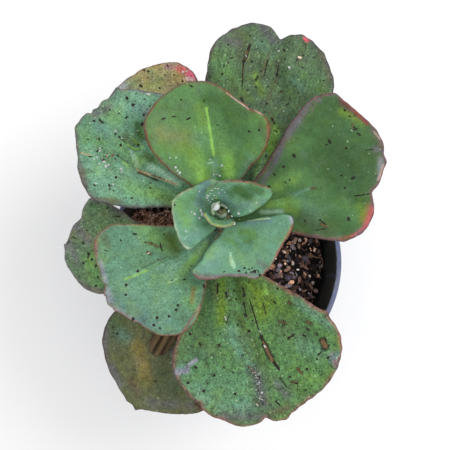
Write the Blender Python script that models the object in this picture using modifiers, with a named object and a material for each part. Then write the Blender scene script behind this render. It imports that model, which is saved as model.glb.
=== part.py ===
"""A potted echeveria: broad spoon-shaped leaves in a loose rosette on a bare, leaning stem.

The origin is on the table under the middle of the pot, and +Z is up. Sizes are in millimetres
and angles in degrees. Meshes are scaled to metres by MM as they are made.
"""

import math
from dataclasses import dataclass

import bmesh
import bpy
import numpy as np
from mathutils import Matrix, Vector

MM = 0.001
ARC_STEPS = 3

# Pot: a thin-walled plastic pot with a turned-down lip.
RIM_HEIGHT = 120.0
RIM_RADIUS = 69.5
LIP_WIDTH = 3.3
LIP_DROP = 12.5
LIP_SKIN = 1.2
LIP_ROUNDING = 0.9
POT_TAPER = 7.6
POT_WALL = 1.6
POT_FLOOR = 3.0
FLOOR_ROUNDING = 4.0
FOOT_ROUNDING = 3.0
POT_SEGMENTS = 48

# Drainage: holes through the floor, and channels under it that run out to the pot's edge.
DRAIN_HOLES = 8
DRAIN_HOLE_RADIUS = 4.0
DRAIN_RING_RADIUS = 36.0
DRAIN_CHANNEL_WIDTH = 3.5
DRAIN_CHANNEL_DEPTH = 1.2

# Soil: fills the pot to 30 mm under the lip, with a lumpy top.
SOIL_LEVEL = 90.0
SOIL_GAP = 0.3
SOIL_RINGS = 11
SOIL_LUMP_SIZE = 12.0
SOIL_RELIEF = 7.0

# Stem: a tapering rod that leans towards +Y, from below the soil up to the growing tip.
STEM_AT_SOIL = (0.0, 4.0)
STEM_AT_CROWN = (-1.5, 26.5)
CROWN_HEIGHT = 182.0
STEM_RADIUS = 9.5
CROWN_RADIUS = 3.5
STEM_NARROWING = 1.5
STEM_DEPTH = 24.0
STEM_RINGS = 9
STEM_SEGMENTS = 24
STEM_DOME = 1.8

# What all the leaves share.
LEAF_SEGMENTS = 56
LEAF_ROWS = 8
WIDTH_STATIONS = np.array([0.0, 0.25, 0.5, 0.75, 0.9])
BLADE_CENTRE = 0.62
TIP_BLUNTNESS = 8
BASE_ROUNDING = 0.04
PETIOLE_CUP = 40.0
EDGE_FULLNESS = 0.7
BASE_IN_STEM = 1.0
SEAT_GAP = 0.6
# An uneven margin: (share of the leaf's reach, waves round the blade, turns with the azimuth).
UNEVENNESS = ((0.009, 5, 1), (0.006, 8, 3))

POT_BLUE_GREY = (0.24, 0.27, 0.38)
SOIL_BROWN = (0.035, 0.022, 0.016)
STEM_TAN = (0.20, 0.15, 0.08)
WITHERED_BROWN = (0.16, 0.09, 0.05)
GREEN = (0.13, 0.24, 0.10)
BLUE_GREEN = (0.17, 0.29, 0.19)
OLIVE = (0.13, 0.15, 0.07)


@dataclass
class Leaf:
    """One leaf. azimuth is the way it points, anticlockwise from +X, and height is where its
    base meets the stem. petiole is the width there. left and right are the half-widths at a
    quarter, a half, three quarters and nine tenths of its length. It leaves the stem at the
    angle rise above the horizontal and ends at the angle tip_rise. cup bends each half of the
    blade upwards, and roll turns the blade about its midrib. thick is the thickness at the base
    and in the blade. A notch is (its direction from the blade's centre, its depth in percent of
    the leaf's reach, its half-width in degrees), and a negative depth is a point. ruffle is a
    wave of the margin: (its height, the number of waves, its phase)."""

    name: str
    azimuth: float
    height: float
    length: float
    petiole: float
    left: tuple
    right: tuple
    rise: float
    tip_rise: float
    cup: float
    colour: tuple
    roll: float = 0.0
    thick: tuple = (6.0, 2.6)
    notches: tuple = ()
    ruffle: tuple = (0.0, 3, 0)


# From the oldest, lowest leaf up to the growing tip.
LEAVES = (
    Leaf("leaf_01", 243, 126, 106, 16, (13, 26, 38, 24), (17, 33, 34, 20), 8, -16, 10, OLIVE,
         notches=((-100, -6, 22), (-33, 1.7, 10), (-11, -2.4, 3), (-1, -3, 2), (11, 2.8, 13)),
         ruffle=(1.2, 4, 40)),
    Leaf("leaf_02", 113, 131, 101, 15, (12, 26, 35, 30), (12, 26, 24, 19), 12, -4, 12, OLIVE,
         notches=((-41, -6, 8), (-11, 1.2, 22), (16, 1.5, 6), (38, -2, 10)), ruffle=(1, 4, 0)),
    Leaf("leaf_03", 183, 136, 86, 15, (12, 25, 29, 23), (6, 11.5, 24.5, 14.5), 12, -18, 12, GREEN,
         notches=((-61, -5, 4), (-34, 7.6, 8), (-4, 2, 4), (16, -3.5, 8), (77, -2.5, 40)),
         ruffle=(1.2, 5, 80)),
    Leaf("leaf_04", 72, 142, 115, 16, (13, 26, 37, 31), (12, 25, 34, 27), 16, -4, 14, GREEN,
         notches=((-71, -4, 4), (-49, 1.7, 6), (-33, -2.2, 5), (-6, 2.7, 4), (4, 17.3, 8),
         (29, -1.6, 5), (48, 1.5, 6), (92, -7.8, 10)), ruffle=(1.2, 5, 120)),
    Leaf("leaf_05", 283, 148, 106, 17, (18, 43, 46, 34), (22, 41, 39, 25), 18, -12, 12, GREEN,
         notches=((-120, 2.7, 40), (-61, 5.7, 3), (-20, -4.7, 10), (0, 8.8, 4), (15, -3.2, 5),
         (34, 9.4, 22), (95, -3.4, 22), (106, -5, 3)), ruffle=(1.4, 6, 20)),
    Leaf("leaf_06", 139, 153, 93, 15, (10, 29, 31, 20), (12, 27, 33, 23), 20, -4, 14, BLUE_GREEN,
         notches=((-60, 5, 13), (-32, -6.5, 3), (-21, 3.8, 3), (-8, 9.4, 10), (0, 5.4, 2),
         (19, -7.5, 10), (48, 4.6, 10), (86, -5.5, 13)), ruffle=(1.2, 5, 200)),
    Leaf("leaf_07", 27, 158, 92, 16, (13, 26, 38, 29), (17, 35, 36, 20), 22, 0, 16, GREEN,
         notches=((-98, -3, 8), (-73, 2.4, 6), (-50, 17.4, 13), (-18, -6.4, 5), (10, -4.5, 40),
         (54, -6.4, 8), (86, 6.5, 13), (137, -2.2, 22)), ruffle=(1.2, 5, 300)),
    Leaf("leaf_08", 213, 163, 70, 13, (18, 34, 37, 28), (11, 22, 30, 25), 26, 0, 16, BLUE_GREEN,
         notches=((-84, -4.5, 5), (-31, 10.5, 17), (-12, 6, 5), (-3, -5, 2), (8, -8.7, 8),
         (18, -4.5, 3), (49, 9.8, 17), (90, -3.3, 10)), ruffle=(1, 4, 60)),
    Leaf("leaf_09", 100, 168, 72, 13, (13, 27, 32, 25), (15, 32, 29, 17), 32, 8, 22, GREEN,
         notches=((-133, 5, 17), (-88, -3.9, 8), (-69, 5.2, 4), (-57, 12.2, 22), (-26, 2.4, 13),
         (14, -1.8, 10), (59, 3.5, 13), (148, 2.2, 8)), ruffle=(0.8, 5, 0)),
    Leaf("leaf_10", 306, 172, 38, 11, (10.7, 26, 27.3, 13), (15, 30, 17, 7.5), 36, 20, 20,
         BLUE_GREEN, notches=((-113, 5.9, 8), (-103, -5, 3), (-78, 8.3, 10), (-33, -3, 3),
         (16, -7.6, 13), (67, 7.5, 13), (107, 4.7, 8)), ruffle=(0.5, 4, 0)),
    Leaf("leaf_11", 181, 174, 27.5, 9, (10.3, 15, 18, 11.5), (21.7, 16.7, 13, 11.2), 44, 30, 24,
         BLUE_GREEN, notches=((-105, 5.7, 4), (-83, -4.7, 8), (-60, 3.9, 8), (-34, -6.2, 8),
         (1, 7.2, 10)), ruffle=(0.4, 3, 0)),
    Leaf("leaf_12", 57, 179, 27.5, 8, (10, 14.2, 13.6, 12), (10.7, 15.2, 18.3, 17.5), 62.5,
         48.5, 15.5, BLUE_GREEN, roll=38, thick=(3.0, 2.4), notches=((-60, -3.2, 6),
         (-16, 2.7, 6), (5, 3.5, 22), (57, -8, 6), (81, 2.2, 6))),
    Leaf("leaf_13", 252, 179.5, 15, 6, (4.5, 7.5, 8.5, 6), (4.5, 7.5, 8.5, 6), 76, 66, 40,
         BLUE_GREEN, thick=(3.0, 1.8)),
    Leaf("leaf_14", 155, 183.2, 9.5, 3.4, (2.4, 3.8, 4.2, 3.2), (2.4, 3.8, 4.2, 3.2), 80, 76, 40,
         BLUE_GREEN, thick=(2.4, 1.4)),
)

# An old leaf that has dried to a narrow strip and lies on the lowest one.
WITHERED_LEAF = Leaf(
    "withered_leaf", 239.5, 130.6, 72.5, 8, (4.5, 5.5, 6.5, 6.5), (4.5, 5, 6, 6.5), 8, -10, 20,
    WITHERED_BROWN, thick=(1.6, 1.2), notches=((14, 7, 7), (-24, 5, 6)),
)

STEM_FOOT = np.array([*STEM_AT_SOIL, SOIL_LEVEL])
STEM_TIP = np.array([*STEM_AT_CROWN, CROWN_HEIGHT])
STEM_LENGTH = np.linalg.norm(STEM_TIP - STEM_FOOT)
STEM_AXIS = (STEM_TIP - STEM_FOOT) / STEM_LENGTH


def material(name, colour, roughness):
    """A Principled material in one plain colour."""
    made = bpy.data.materials.new(name)
    made.use_nodes = True
    shader = made.node_tree.nodes["Principled BSDF"]
    shader.inputs["Base Color"].default_value = (*colour, 1.0)
    shader.inputs["Roughness"].default_value = roughness
    shader.inputs["Metallic"].default_value = 0.0
    made.diffuse_color = (*colour, 1.0)
    return made


def add_object(name, mesh, collection, parent=None):
    """A new object for a mesh, linked to one collection."""
    made = bpy.data.objects.new(name, mesh)
    collection.objects.link(made)
    made.parent = parent
    return made


def rounded(corners):
    """Points through the corners (radius from the axis, height, rounding) of a half section,
    with an arc at each corner that has a rounding."""
    points = []
    for index, (x, z, rounding) in enumerate(corners):
        corner = Vector((x, z))
        if not rounding:
            points.append(corner)
            continue
        back = (Vector(corners[index - 1][:2]) - corner).normalized()
        ahead = (Vector(corners[index + 1][:2]) - corner).normalized()
        half = back.angle(ahead) / 2
        centre = corner + (back + ahead).normalized() * rounding / math.sin(half)
        start = (corner + back * rounding / math.tan(half) - centre).normalized()
        end = (corner + ahead * rounding / math.tan(half) - centre).normalized()
        for step in range(ARC_STEPS + 1):
            points.append(centre + start.lerp(end, step / ARC_STEPS).normalized() * rounding)
    return points


def turned_body(name, profile, segments, parts, parent):
    """A half section in the XZ plane, turned once round Z into a closed body."""
    mesh = bpy.data.meshes.new(name)
    vertices = [(x * MM, 0.0, z * MM) for x, z in profile]
    mesh.from_pydata(vertices, [(i, i + 1) for i in range(len(vertices) - 1)], [])
    body = add_object(name, mesh, parts, parent)
    screw = body.modifiers.new("turn", "SCREW")
    screw.steps = segments
    screw.render_steps = segments
    screw.use_merge_vertices = True
    screw.merge_threshold = 0.01 * MM
    screw.use_smooth_shade = True
    return body


def cut(target, name, bm, cutters):
    """Cuts the shape in a bmesh out of an object, and gives back the hidden cutter."""
    mesh = bpy.data.meshes.new(name)
    bm.to_mesh(mesh)
    bm.free()
    cutter = add_object(name, mesh, cutters)
    cutter.hide_render = True
    cutter.display_type = "WIRE"
    boolean = target.modifiers.new(name, "BOOLEAN")
    boolean.operation = "DIFFERENCE"
    boolean.solver = "EXACT"
    boolean.object = cutter
    return cutter


def pot_inside(height):
    """Radius of the pot's inner wall at a height."""
    return RIM_RADIUS - LIP_WIDTH - (RIM_HEIGHT - height) * math.tan(math.radians(POT_TAPER))


def pot_profile():
    """Half section of the pot: out along its floor, up the inside, over the lip, down the
    outside and in under the foot."""
    skirt_end = RIM_HEIGHT - LIP_DROP
    skirt_inside = RIM_RADIUS - LIP_SKIN
    lip_under = RIM_HEIGHT - 2 * LIP_SKIN
    return rounded([
        (0.0, POT_FLOOR, 0.0),
        (pot_inside(POT_FLOOR), POT_FLOOR, FLOOR_ROUNDING),
        (pot_inside(SOIL_LEVEL), SOIL_LEVEL, 0.0),
        (pot_inside(RIM_HEIGHT), RIM_HEIGHT, LIP_ROUNDING),
        (RIM_RADIUS, RIM_HEIGHT, LIP_ROUNDING),
        (RIM_RADIUS, skirt_end, LIP_SKIN / 3),
        (skirt_inside, skirt_end, 0.0),
        (skirt_inside, lip_under, 0.0),
        (pot_inside(lip_under) + POT_WALL, lip_under, 0.0),
        (pot_inside(0.0) + POT_WALL, 0.0, FOOT_ROUNDING),
        (0.0, 0.0, 0.0),
    ])


def make_pot(parts, cutters, parent):
    """The pot, with drain holes and channels between them."""
    pot = turned_body("pot", pot_profile(), POT_SEGMENTS, parts, parent)
    pot.data.materials.append(material("pot", POT_BLUE_GREY, 0.4))
    holes = bmesh.new()
    channels = bmesh.new()
    channel_length = RIM_RADIUS - DRAIN_RING_RADIUS
    channel_middle = DRAIN_RING_RADIUS + channel_length / 2
    for number in range(DRAIN_HOLES):
        turn = Matrix.Rotation(math.tau * (number + 0.5) / DRAIN_HOLES, 4, "Z")
        place = turn @ Matrix.Translation((DRAIN_RING_RADIUS * MM, 0.0, 0.0))
        bmesh.ops.create_cone(holes, cap_ends=True, segments=16, depth=4 * POT_FLOOR * MM,
                              radius1=DRAIN_HOLE_RADIUS * MM, radius2=DRAIN_HOLE_RADIUS * MM,
                              matrix=place)
        size = Vector((channel_length, DRAIN_CHANNEL_WIDTH, 2 * DRAIN_CHANNEL_DEPTH)) * MM
        place = turn @ Matrix.Translation((channel_middle * MM, 0.0, 0.0))
        bmesh.ops.create_cube(channels, size=1.0, matrix=place @ Matrix.Diagonal((*size, 1.0)))
    cut(pot, "drain_holes", holes, cutters)
    cut(pot, "drain_channels", channels, cutters)
    return pot


def stem_radius(along):
    """Radius of the stem at a distance along its axis from the soil."""
    share = np.clip(np.asarray(along, float) / STEM_LENGTH, 0.0, 1.0)
    return STEM_RADIUS - (STEM_RADIUS - CROWN_RADIUS) * share**STEM_NARROWING


def stand_on_stem_axis(target):
    """Puts an object's origin at the foot of the stem, with its Z along the stem's axis."""
    target.location = Vector(STEM_FOOT) * MM
    target.rotation_mode = "QUATERNION"
    target.rotation_quaternion = Vector((0.0, 0.0, 1.0)).rotation_difference(Vector(STEM_AXIS))


def make_stem(parts, parent):
    """The bare stem, rounded over at the growing tip."""
    half_radius = CROWN_RADIUS / 2
    profile = [(0.0, STEM_LENGTH + STEM_DOME), (half_radius, STEM_LENGTH + 0.75 * STEM_DOME)]
    profile += [(stem_radius(z), z) for z in np.linspace(STEM_LENGTH, 0.0, STEM_RINGS)]
    profile += [(STEM_RADIUS, -STEM_DEPTH), (0.0, -STEM_DEPTH)]
    stem = turned_body("stem", profile, STEM_SEGMENTS, parts, parent)
    stem.data.materials.append(material("stem", STEM_TAN, 0.8))
    stand_on_stem_axis(stem)
    return stem


def make_soil(parts, cutters, parent):
    """The soil: a plug with a lumpy top that fits the pot, and a plain hole for the stem."""
    edge = pot_inside(SOIL_LEVEL) - SOIL_GAP
    bottom = POT_FLOOR + SOIL_GAP
    top = [Vector((x, SOIL_LEVEL)) for x in np.linspace(0.0, edge, SOIL_RINGS)]
    side = rounded([
        (edge, SOIL_LEVEL, 0.0),
        (pot_inside(bottom) - SOIL_GAP, bottom, FLOOR_ROUNDING),
        (0.0, bottom, 0.0),
    ])
    soil = turned_body("soil", top + side[1:], POT_SEGMENTS, parts, parent)
    soil.data.materials.append(material("soil", SOIL_BROWN, 0.95))

    texture = bpy.data.textures.new("soil_lumps", "CLOUDS")
    texture.noise_scale = SOIL_LUMP_SIZE * MM
    lumpy = soil.vertex_groups.new(name="lumpy")
    lumpy.add(list(range(SOIL_RINGS - 1)), 1.0, "REPLACE")
    lumps = soil.modifiers.new("lumps", "DISPLACE")
    lumps.texture = texture
    lumps.direction = "Z"
    lumps.strength = SOIL_RELIEF * MM
    lumps.vertex_group = lumpy.name

    hole = bmesh.new()
    bmesh.ops.create_cone(hole, cap_ends=True, segments=STEM_SEGMENTS,
                          radius1=(STEM_RADIUS + SOIL_GAP) * MM,
                          radius2=(STEM_RADIUS + SOIL_GAP) * MM,
                          depth=2 * (STEM_DEPTH + SOIL_GAP) * MM)
    stand_on_stem_axis(cut(soil, "stem_hole", hole, cutters))
    return soil


def half_width(stations, share):
    """Half-width of a leaf at a share of its length: a smooth curve through the widths at the
    stations, closed by a blunt tip."""
    closing = np.sqrt(1 - WIDTH_STATIONS**TIP_BLUNTNESS)
    curve = np.polyfit(WIDTH_STATIONS, np.array(stations) / closing, len(WIDTH_STATIONS) - 1)
    return np.polyval(curve, share) * np.sqrt(np.clip(1 - share**TIP_BLUNTNESS, 0, 1))


def leaf_outline(leaf, turn):
    """Flat outline of a leaf, with x along it and y to its left. turn goes once round it and is
    0 at the tip."""
    share = 0.5 + 0.5 * np.cos(turn)
    base = leaf.petiole / 2
    width = np.where(np.sin(turn) >= 0, half_width((base, *leaf.left), share),
                     -half_width((base, *leaf.right), share))
    width *= np.sqrt(1 - (1 - np.clip(share / BASE_ROUNDING, 0, 1)) ** 2)
    centre = leaf.length * BLADE_CENTRE
    x = leaf.length * share - centre
    way = np.degrees(np.arctan2(width, x))
    waves = sum(size * np.sin(np.radians(count * way + turns * leaf.azimuth))
                for size, count, turns in UNEVENNESS)
    reach = 1 + waves * np.clip((share - 0.3) / 0.2, 0, 1)
    for towards, depth, spread in leaf.notches:
        reach -= depth / 100 * np.exp(-np.abs((way - towards) / spread) ** 1.5)
    return centre + x * reach, width * reach


def leaf_base(leaf):
    """Where a leaf's midrib starts, a little inside the stem."""
    along = (leaf.height - SOIL_LEVEL) / STEM_AXIS[2]
    way = math.radians(leaf.azimuth)
    out = stem_radius(along) - BASE_IN_STEM
    return STEM_FOOT + STEM_AXIS * along + out * np.array([math.cos(way), math.sin(way), 0.0])


def midrib(leaf, x):
    """Points of the midrib at distances x from its base, and how steeply it climbs there, in
    radians. The climb changes evenly from the base to the tip."""
    share = np.linspace(0.0, 1.1, 80)
    climb = np.radians(leaf.rise + (leaf.tip_rise - leaf.rise) * share)
    step = leaf.length * share[1]
    out = np.concatenate([[0.0], np.cumsum(np.cos(climb[1:]) + np.cos(climb[:-1])) * step / 2])
    up = np.concatenate([[0.0], np.cumsum(np.sin(climb[1:]) + np.sin(climb[:-1])) * step / 2])
    out, up, climb = (np.interp(x, share * leaf.length, line) for line in (out, up, climb))
    way = math.radians(leaf.azimuth)
    flat = np.stack([out * math.cos(way), out * math.sin(way), up], axis=1)
    return leaf_base(leaf) + flat, climb


def bend_blade(leaf, x, y, lift):
    """Takes points of the flat leaf, each lifted off its mid-surface, to where they are once
    the midrib climbs, the blade rolls and cups about it, and the margin ruffles."""
    spine, climb = midrib(leaf, x)
    way = math.radians(leaf.azimuth)
    level_across = np.array([-math.sin(way), math.cos(way), 0.0])
    level_up = np.stack([-np.sin(climb) * math.cos(way), -np.sin(climb) * math.sin(way),
                         np.cos(climb)], axis=1)
    share = np.clip(x / leaf.length, 0, 1)
    roll = np.radians(leaf.roll * share)[:, None]
    across = level_across * np.cos(roll) + level_up * np.sin(roll)
    up = level_up * np.cos(roll) - level_across * np.sin(roll)

    blade = np.clip(share / BLADE_CENTRE, 0, 1)
    blade = blade * blade * (3 - 2 * blade)
    widest = np.where(y >= 0, max(leaf.left), max(leaf.right))
    reach = leaf.petiole / 2 * (1 - blade) + widest * blade
    cup = np.radians(PETIOLE_CUP * (1 - blade) + leaf.cup * blade)
    bend = cup * y / reach
    sideways = reach / cup * np.sin(bend)
    rise = reach / cup * (1 - np.cos(bend))

    height, waves, phase = leaf.ruffle
    turn = np.arctan2(y, x - BLADE_CENTRE * leaf.length)
    outness = np.hypot(y / reach, (share - BLADE_CENTRE) / (1 - BLADE_CENTRE))
    rise += height * np.clip(outness, 0, 1.1) ** 3 * np.sin(waves * turn + math.radians(phase)) * blade

    sideways, rise, bend, lift = (line[:, None] for line in (sideways, rise, bend, lift))
    facing = up * np.cos(bend) - across * np.sin(bend)
    return spine + across * sideways + up * rise + facing * lift


def clear_of_stem(points):
    """Presses points that would lie inside the stem out to its skin, which seats the leaf."""
    from_foot = points - STEM_FOOT
    along = from_foot @ STEM_AXIS
    radial = from_foot - along[:, None] * STEM_AXIS
    distance = np.linalg.norm(radial, axis=1)
    skin = stem_radius(along) + SEAT_GAP
    inside = (distance < skin) & (along < STEM_LENGTH + STEM_DOME)
    push = np.where(inside, skin / np.maximum(distance, 1e-6), 1.0)
    return points + radial * (push - 1)[:, None]


def make_leaf(leaf, parts, parent):
    """A leaf, bent out of a sphere whose equator becomes the margin and whose poles come to lie
    at the middle of the two faces."""
    bm = bmesh.new()
    bmesh.ops.create_uvsphere(bm, u_segments=LEAF_SEGMENTS, v_segments=LEAF_ROWS, radius=1.0)
    ball = np.array([vertex.co for vertex in bm.verts])
    inward = np.hypot(ball[:, 0], ball[:, 1])
    margin_x, margin_y = leaf_outline(leaf, np.arctan2(ball[:, 1], ball[:, 0]))
    centre = leaf.length * BLADE_CENTRE
    x = centre + inward * (margin_x - centre)
    y = inward * margin_y
    at_base, in_blade = leaf.thick
    thickness = in_blade + (at_base - in_blade) * (1 - np.clip(x / leaf.length, 0, 1)) ** 1.5
    lift = thickness / 2 * np.sign(ball[:, 2]) * np.abs(ball[:, 2]) ** EDGE_FULLNESS
    base = leaf_base(leaf)
    points = clear_of_stem(bend_blade(leaf, x, y, lift)) - base
    for vertex, point in zip(bm.verts, points):
        vertex.co = Vector(point) * MM
    mesh = bpy.data.meshes.new(leaf.name)
    bm.to_mesh(mesh)
    bm.free()
    mesh.shade_smooth()
    mesh.materials.append(material(leaf.name, leaf.colour, 0.45))
    made = add_object(leaf.name, mesh, parts, parent)
    made.location = Vector(base) * MM
    return made


def main():
    for old in list(bpy.data.objects):
        bpy.data.objects.remove(old)
    parts = bpy.data.collections.new("potted_echeveria")
    cutters = bpy.data.collections.new("cutters")
    for collection in (parts, cutters):
        bpy.context.scene.collection.children.link(collection)
    plant = add_object("plant", None, parts)
    make_pot(parts, cutters, plant)
    make_soil(parts, cutters, plant)
    make_stem(parts, plant)
    for leaf in (*LEAVES, WITHERED_LEAF):
        make_leaf(leaf, parts, plant)


main()
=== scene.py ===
"""A potted echeveria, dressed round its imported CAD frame.

Sizes are in millimetres and angles in degrees. The origin is on the table under the middle of
the pot, +Y is towards the top of the photograph, and +Z is up. MM scales meshes to metres.
"""

import math
from dataclasses import dataclass

import bpy
import numpy as np
from mathutils import Matrix


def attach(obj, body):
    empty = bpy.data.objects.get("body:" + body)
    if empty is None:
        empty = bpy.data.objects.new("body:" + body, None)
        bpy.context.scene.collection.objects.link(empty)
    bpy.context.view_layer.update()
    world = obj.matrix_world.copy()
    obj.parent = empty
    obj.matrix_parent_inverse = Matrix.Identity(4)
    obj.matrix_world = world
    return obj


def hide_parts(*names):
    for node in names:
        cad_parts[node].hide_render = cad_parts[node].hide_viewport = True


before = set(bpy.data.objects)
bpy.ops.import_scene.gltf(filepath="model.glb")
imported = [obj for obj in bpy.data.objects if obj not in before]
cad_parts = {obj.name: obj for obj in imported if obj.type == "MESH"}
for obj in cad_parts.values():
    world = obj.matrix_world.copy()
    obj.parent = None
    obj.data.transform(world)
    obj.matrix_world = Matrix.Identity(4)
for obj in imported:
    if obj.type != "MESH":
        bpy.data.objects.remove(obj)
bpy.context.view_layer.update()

# POT
# A nursery pot of thin black plastic, moulded in one piece with a turned-down lip. Its outside
# and its lip are skinned in blue-grey, and the mould left the lip's inner edge a little ragged.
# Eight holes go through the floor, each with a channel under it that runs out to the edge.
MM = 0.001
RIM_HEIGHT = 120.0
RIM_RADIUS = 69.5
LIP_WIDTH = 3.3
LIP_DROP = 12.5
LIP_SKIN = 1.2
LIP_ROUNDING = 0.9
POT_TAPER = 7.6
POT_WALL = 1.6
POT_FLOOR = 3.0
FLOOR_ROUNDING = 4.0
FOOT_ROUNDING = 3.0
POT_SEGMENTS = 192
POT_ARC_STEPS = 7
RAGGEDNESS = 0.22
DRAIN_HOLES = 8
DRAIN_HOLE_RADIUS = 4.0
DRAIN_RING_RADIUS = 36.0
DRAIN_CHANNEL_WIDTH = 3.5
DRAIN_CHANNEL_DEPTH = 1.2
CUTTER_REACH = 6.0
BORE_SEGMENTS = 40
SHARP_ANGLE = 35
# Waves round the ragged inner edge of the lip: how many, and their phase.
RAGGED_WAVES = ((17, 0.4), (29, 1.9), (43, 4.0))
LIP_COLOUR = (99, 111, 150)
LIP_SHADE = (80, 91, 127)
POT_BLACK = (36, 45, 46)
DUST_COLOUR = (150, 140, 124)


def linear(colour):
    """A screen colour, 0 to 255 a channel, as the linear colour that a shader takes."""
    share = np.asarray(colour, float) / 255
    return np.where(share <= 0.04045, share / 12.92, ((share + 0.055) / 1.055) ** 2.4)


def solid(colour):
    """A screen colour as a linear colour with full alpha."""
    return (*linear(colour), 1.0)


def unit(vectors):
    """A vector, or each of some vectors, scaled to a length of one."""
    return vectors / np.linalg.norm(vectors, axis=-1, keepdims=True)


def once_round(count):
    """So many angles that go evenly once round from 0."""
    return np.arange(count) * math.tau / count


def closed_shell(name, start, rings, end):
    """A closed mesh over rings of points (ring, place in the ring, xyz) in millimetres: quads
    join each ring to the next, and triangles join the first and last to the poles start and
    end. It faces out where the first ring runs anticlockwise as seen from beyond start."""
    count, around = rings.shape[:2]
    points = np.concatenate([np.reshape(start, (1, 3)), rings.reshape(-1, 3),
                             np.reshape(end, (1, 3))]) * MM
    place = np.arange(around)
    after = (place + 1) % around
    first = 1 + np.arange(count - 1)[:, None] * around
    quads = np.stack([first + place, first + around + place, first + around + after,
                      first + after], axis=-1).reshape(-1, 4)
    last = 1 + (count - 1) * around
    fans = np.concatenate([
        np.stack([np.zeros(around, int), 1 + place, 1 + after], axis=1),
        np.stack([last + place, np.full(around, len(points) - 1), last + after], axis=1),
    ])
    corners = np.concatenate([fans.ravel(), quads.ravel()])
    sizes = np.repeat([3, 4], [len(fans), len(quads)])
    mesh = bpy.data.meshes.new(name)
    mesh.vertices.add(len(points))
    mesh.vertices.foreach_set("co", points.astype(np.float32).ravel())
    mesh.loops.add(len(corners))
    mesh.loops.foreach_set("vertex_index", corners.astype(np.int32))
    mesh.polygons.add(len(sizes))
    mesh.polygons.foreach_set("loop_start", (np.cumsum(sizes) - sizes).astype(np.int32))
    mesh.update(calc_edges=True)
    mesh.shade_smooth()
    return mesh


def turned(profile, segments):
    """Rings round Z through the points (radius, height) of a profile."""
    turn = once_round(segments)
    profile = np.asarray(profile)
    radius, height = profile[:, :1], profile[:, 1:]
    return np.stack([radius * np.cos(turn), radius * np.sin(turn),
                     height + 0 * turn], axis=-1)


def rounded(corners, steps):
    """Points through the corners (radius, height, rounding) of a half section. A rounding is an
    arc of that radius that touches both sides of its corner."""
    points = []
    for index, (x, z, rounding) in enumerate(corners):
        corner = np.array([x, z])
        if not rounding:
            points.append(corner)
            continue
        back, ahead = (unit(np.array(corners[near][:2]) - corner)
                       for near in (index - 1, index + 1))
        half = math.acos(back @ ahead) / 2
        middle = unit(back + ahead)
        centre = corner + middle * rounding / math.sin(half)
        first, last = (corner + way * rounding / math.tan(half) - centre for way in (back, ahead))
        chord = first + (last - first) * np.linspace(0, 1, steps + 1)[:, None]
        points.extend(centre + unit(chord) * rounding)
    return np.array(points)


def pot_inside(height):
    """Radius of the pot's inner wall at a height: it widens evenly up to the lip."""
    return RIM_RADIUS - LIP_WIDTH - (RIM_HEIGHT - height) * math.tan(math.radians(POT_TAPER))


def placed(name, data):
    """A new object for a mesh, a lamp or a camera, linked to the scene."""
    made = bpy.data.objects.new(name, data)
    bpy.context.scene.collection.objects.link(made)
    return made


def shown(name, mesh, finish):
    """A new object for a mesh in one finish."""
    mesh.materials.append(finish)
    return placed(name, mesh)


class Wiring:
    """Adds the nodes of one shader tree. Every method gives back the new node's output."""

    def __init__(self, tree):
        self.tree = tree

    def fill(self, made, inputs):
        """Sets each named socket of a node to its value, or links the output that feeds it."""
        for name, value in inputs.items():
            if isinstance(value, bpy.types.NodeSocket):
                self.tree.links.new(value, made.inputs[name])
            else:
                made.inputs[name].default_value = value

    def node(self, kind, inputs=None, out=0, **settings):
        """A node: inputs gives a value, or the output that feeds it, for each named socket."""
        made = self.tree.nodes.new("ShaderNode" + kind)
        for name, value in settings.items():
            setattr(made, name, value)
        self.fill(made, inputs or {})
        return made.outputs[out]

    def place(self):
        """Object coordinates in millimetres."""
        return self.scaled(self.node("TexCoord", out="Object"), 1 / MM)

    def stored(self, name, out="Fac"):
        """A value stored on the mesh."""
        return self.node("Attribute", out=out, attribute_name=name)

    def scaled(self, vector, factor):
        """A vector or a colour times a number."""
        return self.node("VectorMath", {0: vector, "Scale": factor}, operation="SCALE")

    def stretched(self, vector, factors):
        """A vector times another, part by part."""
        return self.node("VectorMath", {0: vector, 1: factors}, operation="MULTIPLY")

    def maths(self, operation, *values):
        return self.node("Math", dict(enumerate(values)), operation=operation)

    def noise(self, place, scale, detail=3.0, roughness=0.55):
        """Noise about a half, with features one over the scale wide."""
        return self.node("TexNoise", {"Vector": place, "Scale": scale, "Detail": detail,
                                      "Roughness": roughness})

    def eased(self, value, low, high, at_low=0.0, at_high=1.0):
        """A smooth step from at_low to at_high as the value goes from low to high."""
        return self.node("MapRange", {"Value": value, "From Min": low, "From Max": high,
                                      "To Min": at_low, "To Max": at_high},
                         interpolation_type="SMOOTHSTEP")

    def mixed(self, share, first, second):
        """A share of the second colour laid over the first."""
        return self.node("Mix", {0: share, 6: first, 7: second}, out=2, data_type="RGBA")


def effect(name, inputs, outputs):
    """An empty shader node group, its wiring, its input sockets and its output node."""
    group = bpy.data.node_groups.new(name, "ShaderNodeTree")
    for way, sockets in (("INPUT", inputs), ("OUTPUT", outputs)):
        for title, kind in sockets:
            group.interface.new_socket(name=title, in_out=way, socket_type="NodeSocket" + kind)
    enter = group.nodes.new("NodeGroupInput")
    leave = group.nodes.new("NodeGroupOutput")
    return group, Wiring(group), enter.outputs, leave


def used(wiring, group, inputs):
    """Places a group in a material, and gives back its node."""
    made = wiring.tree.nodes.new("ShaderNodeGroup")
    made.node_tree = group
    wiring.fill(made, inputs)
    return made


def finish(name, fixed=None):
    """A new material, its wiring and its Principled shader, with the fixed values set on it."""
    made = bpy.data.materials.new(name)
    made.use_nodes = True
    shader = made.node_tree.nodes["Principled BSDF"]
    for title, value in (fixed or {}).items():
        shader.inputs[title].default_value = value
    return made, Wiring(made.node_tree), shader


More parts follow.
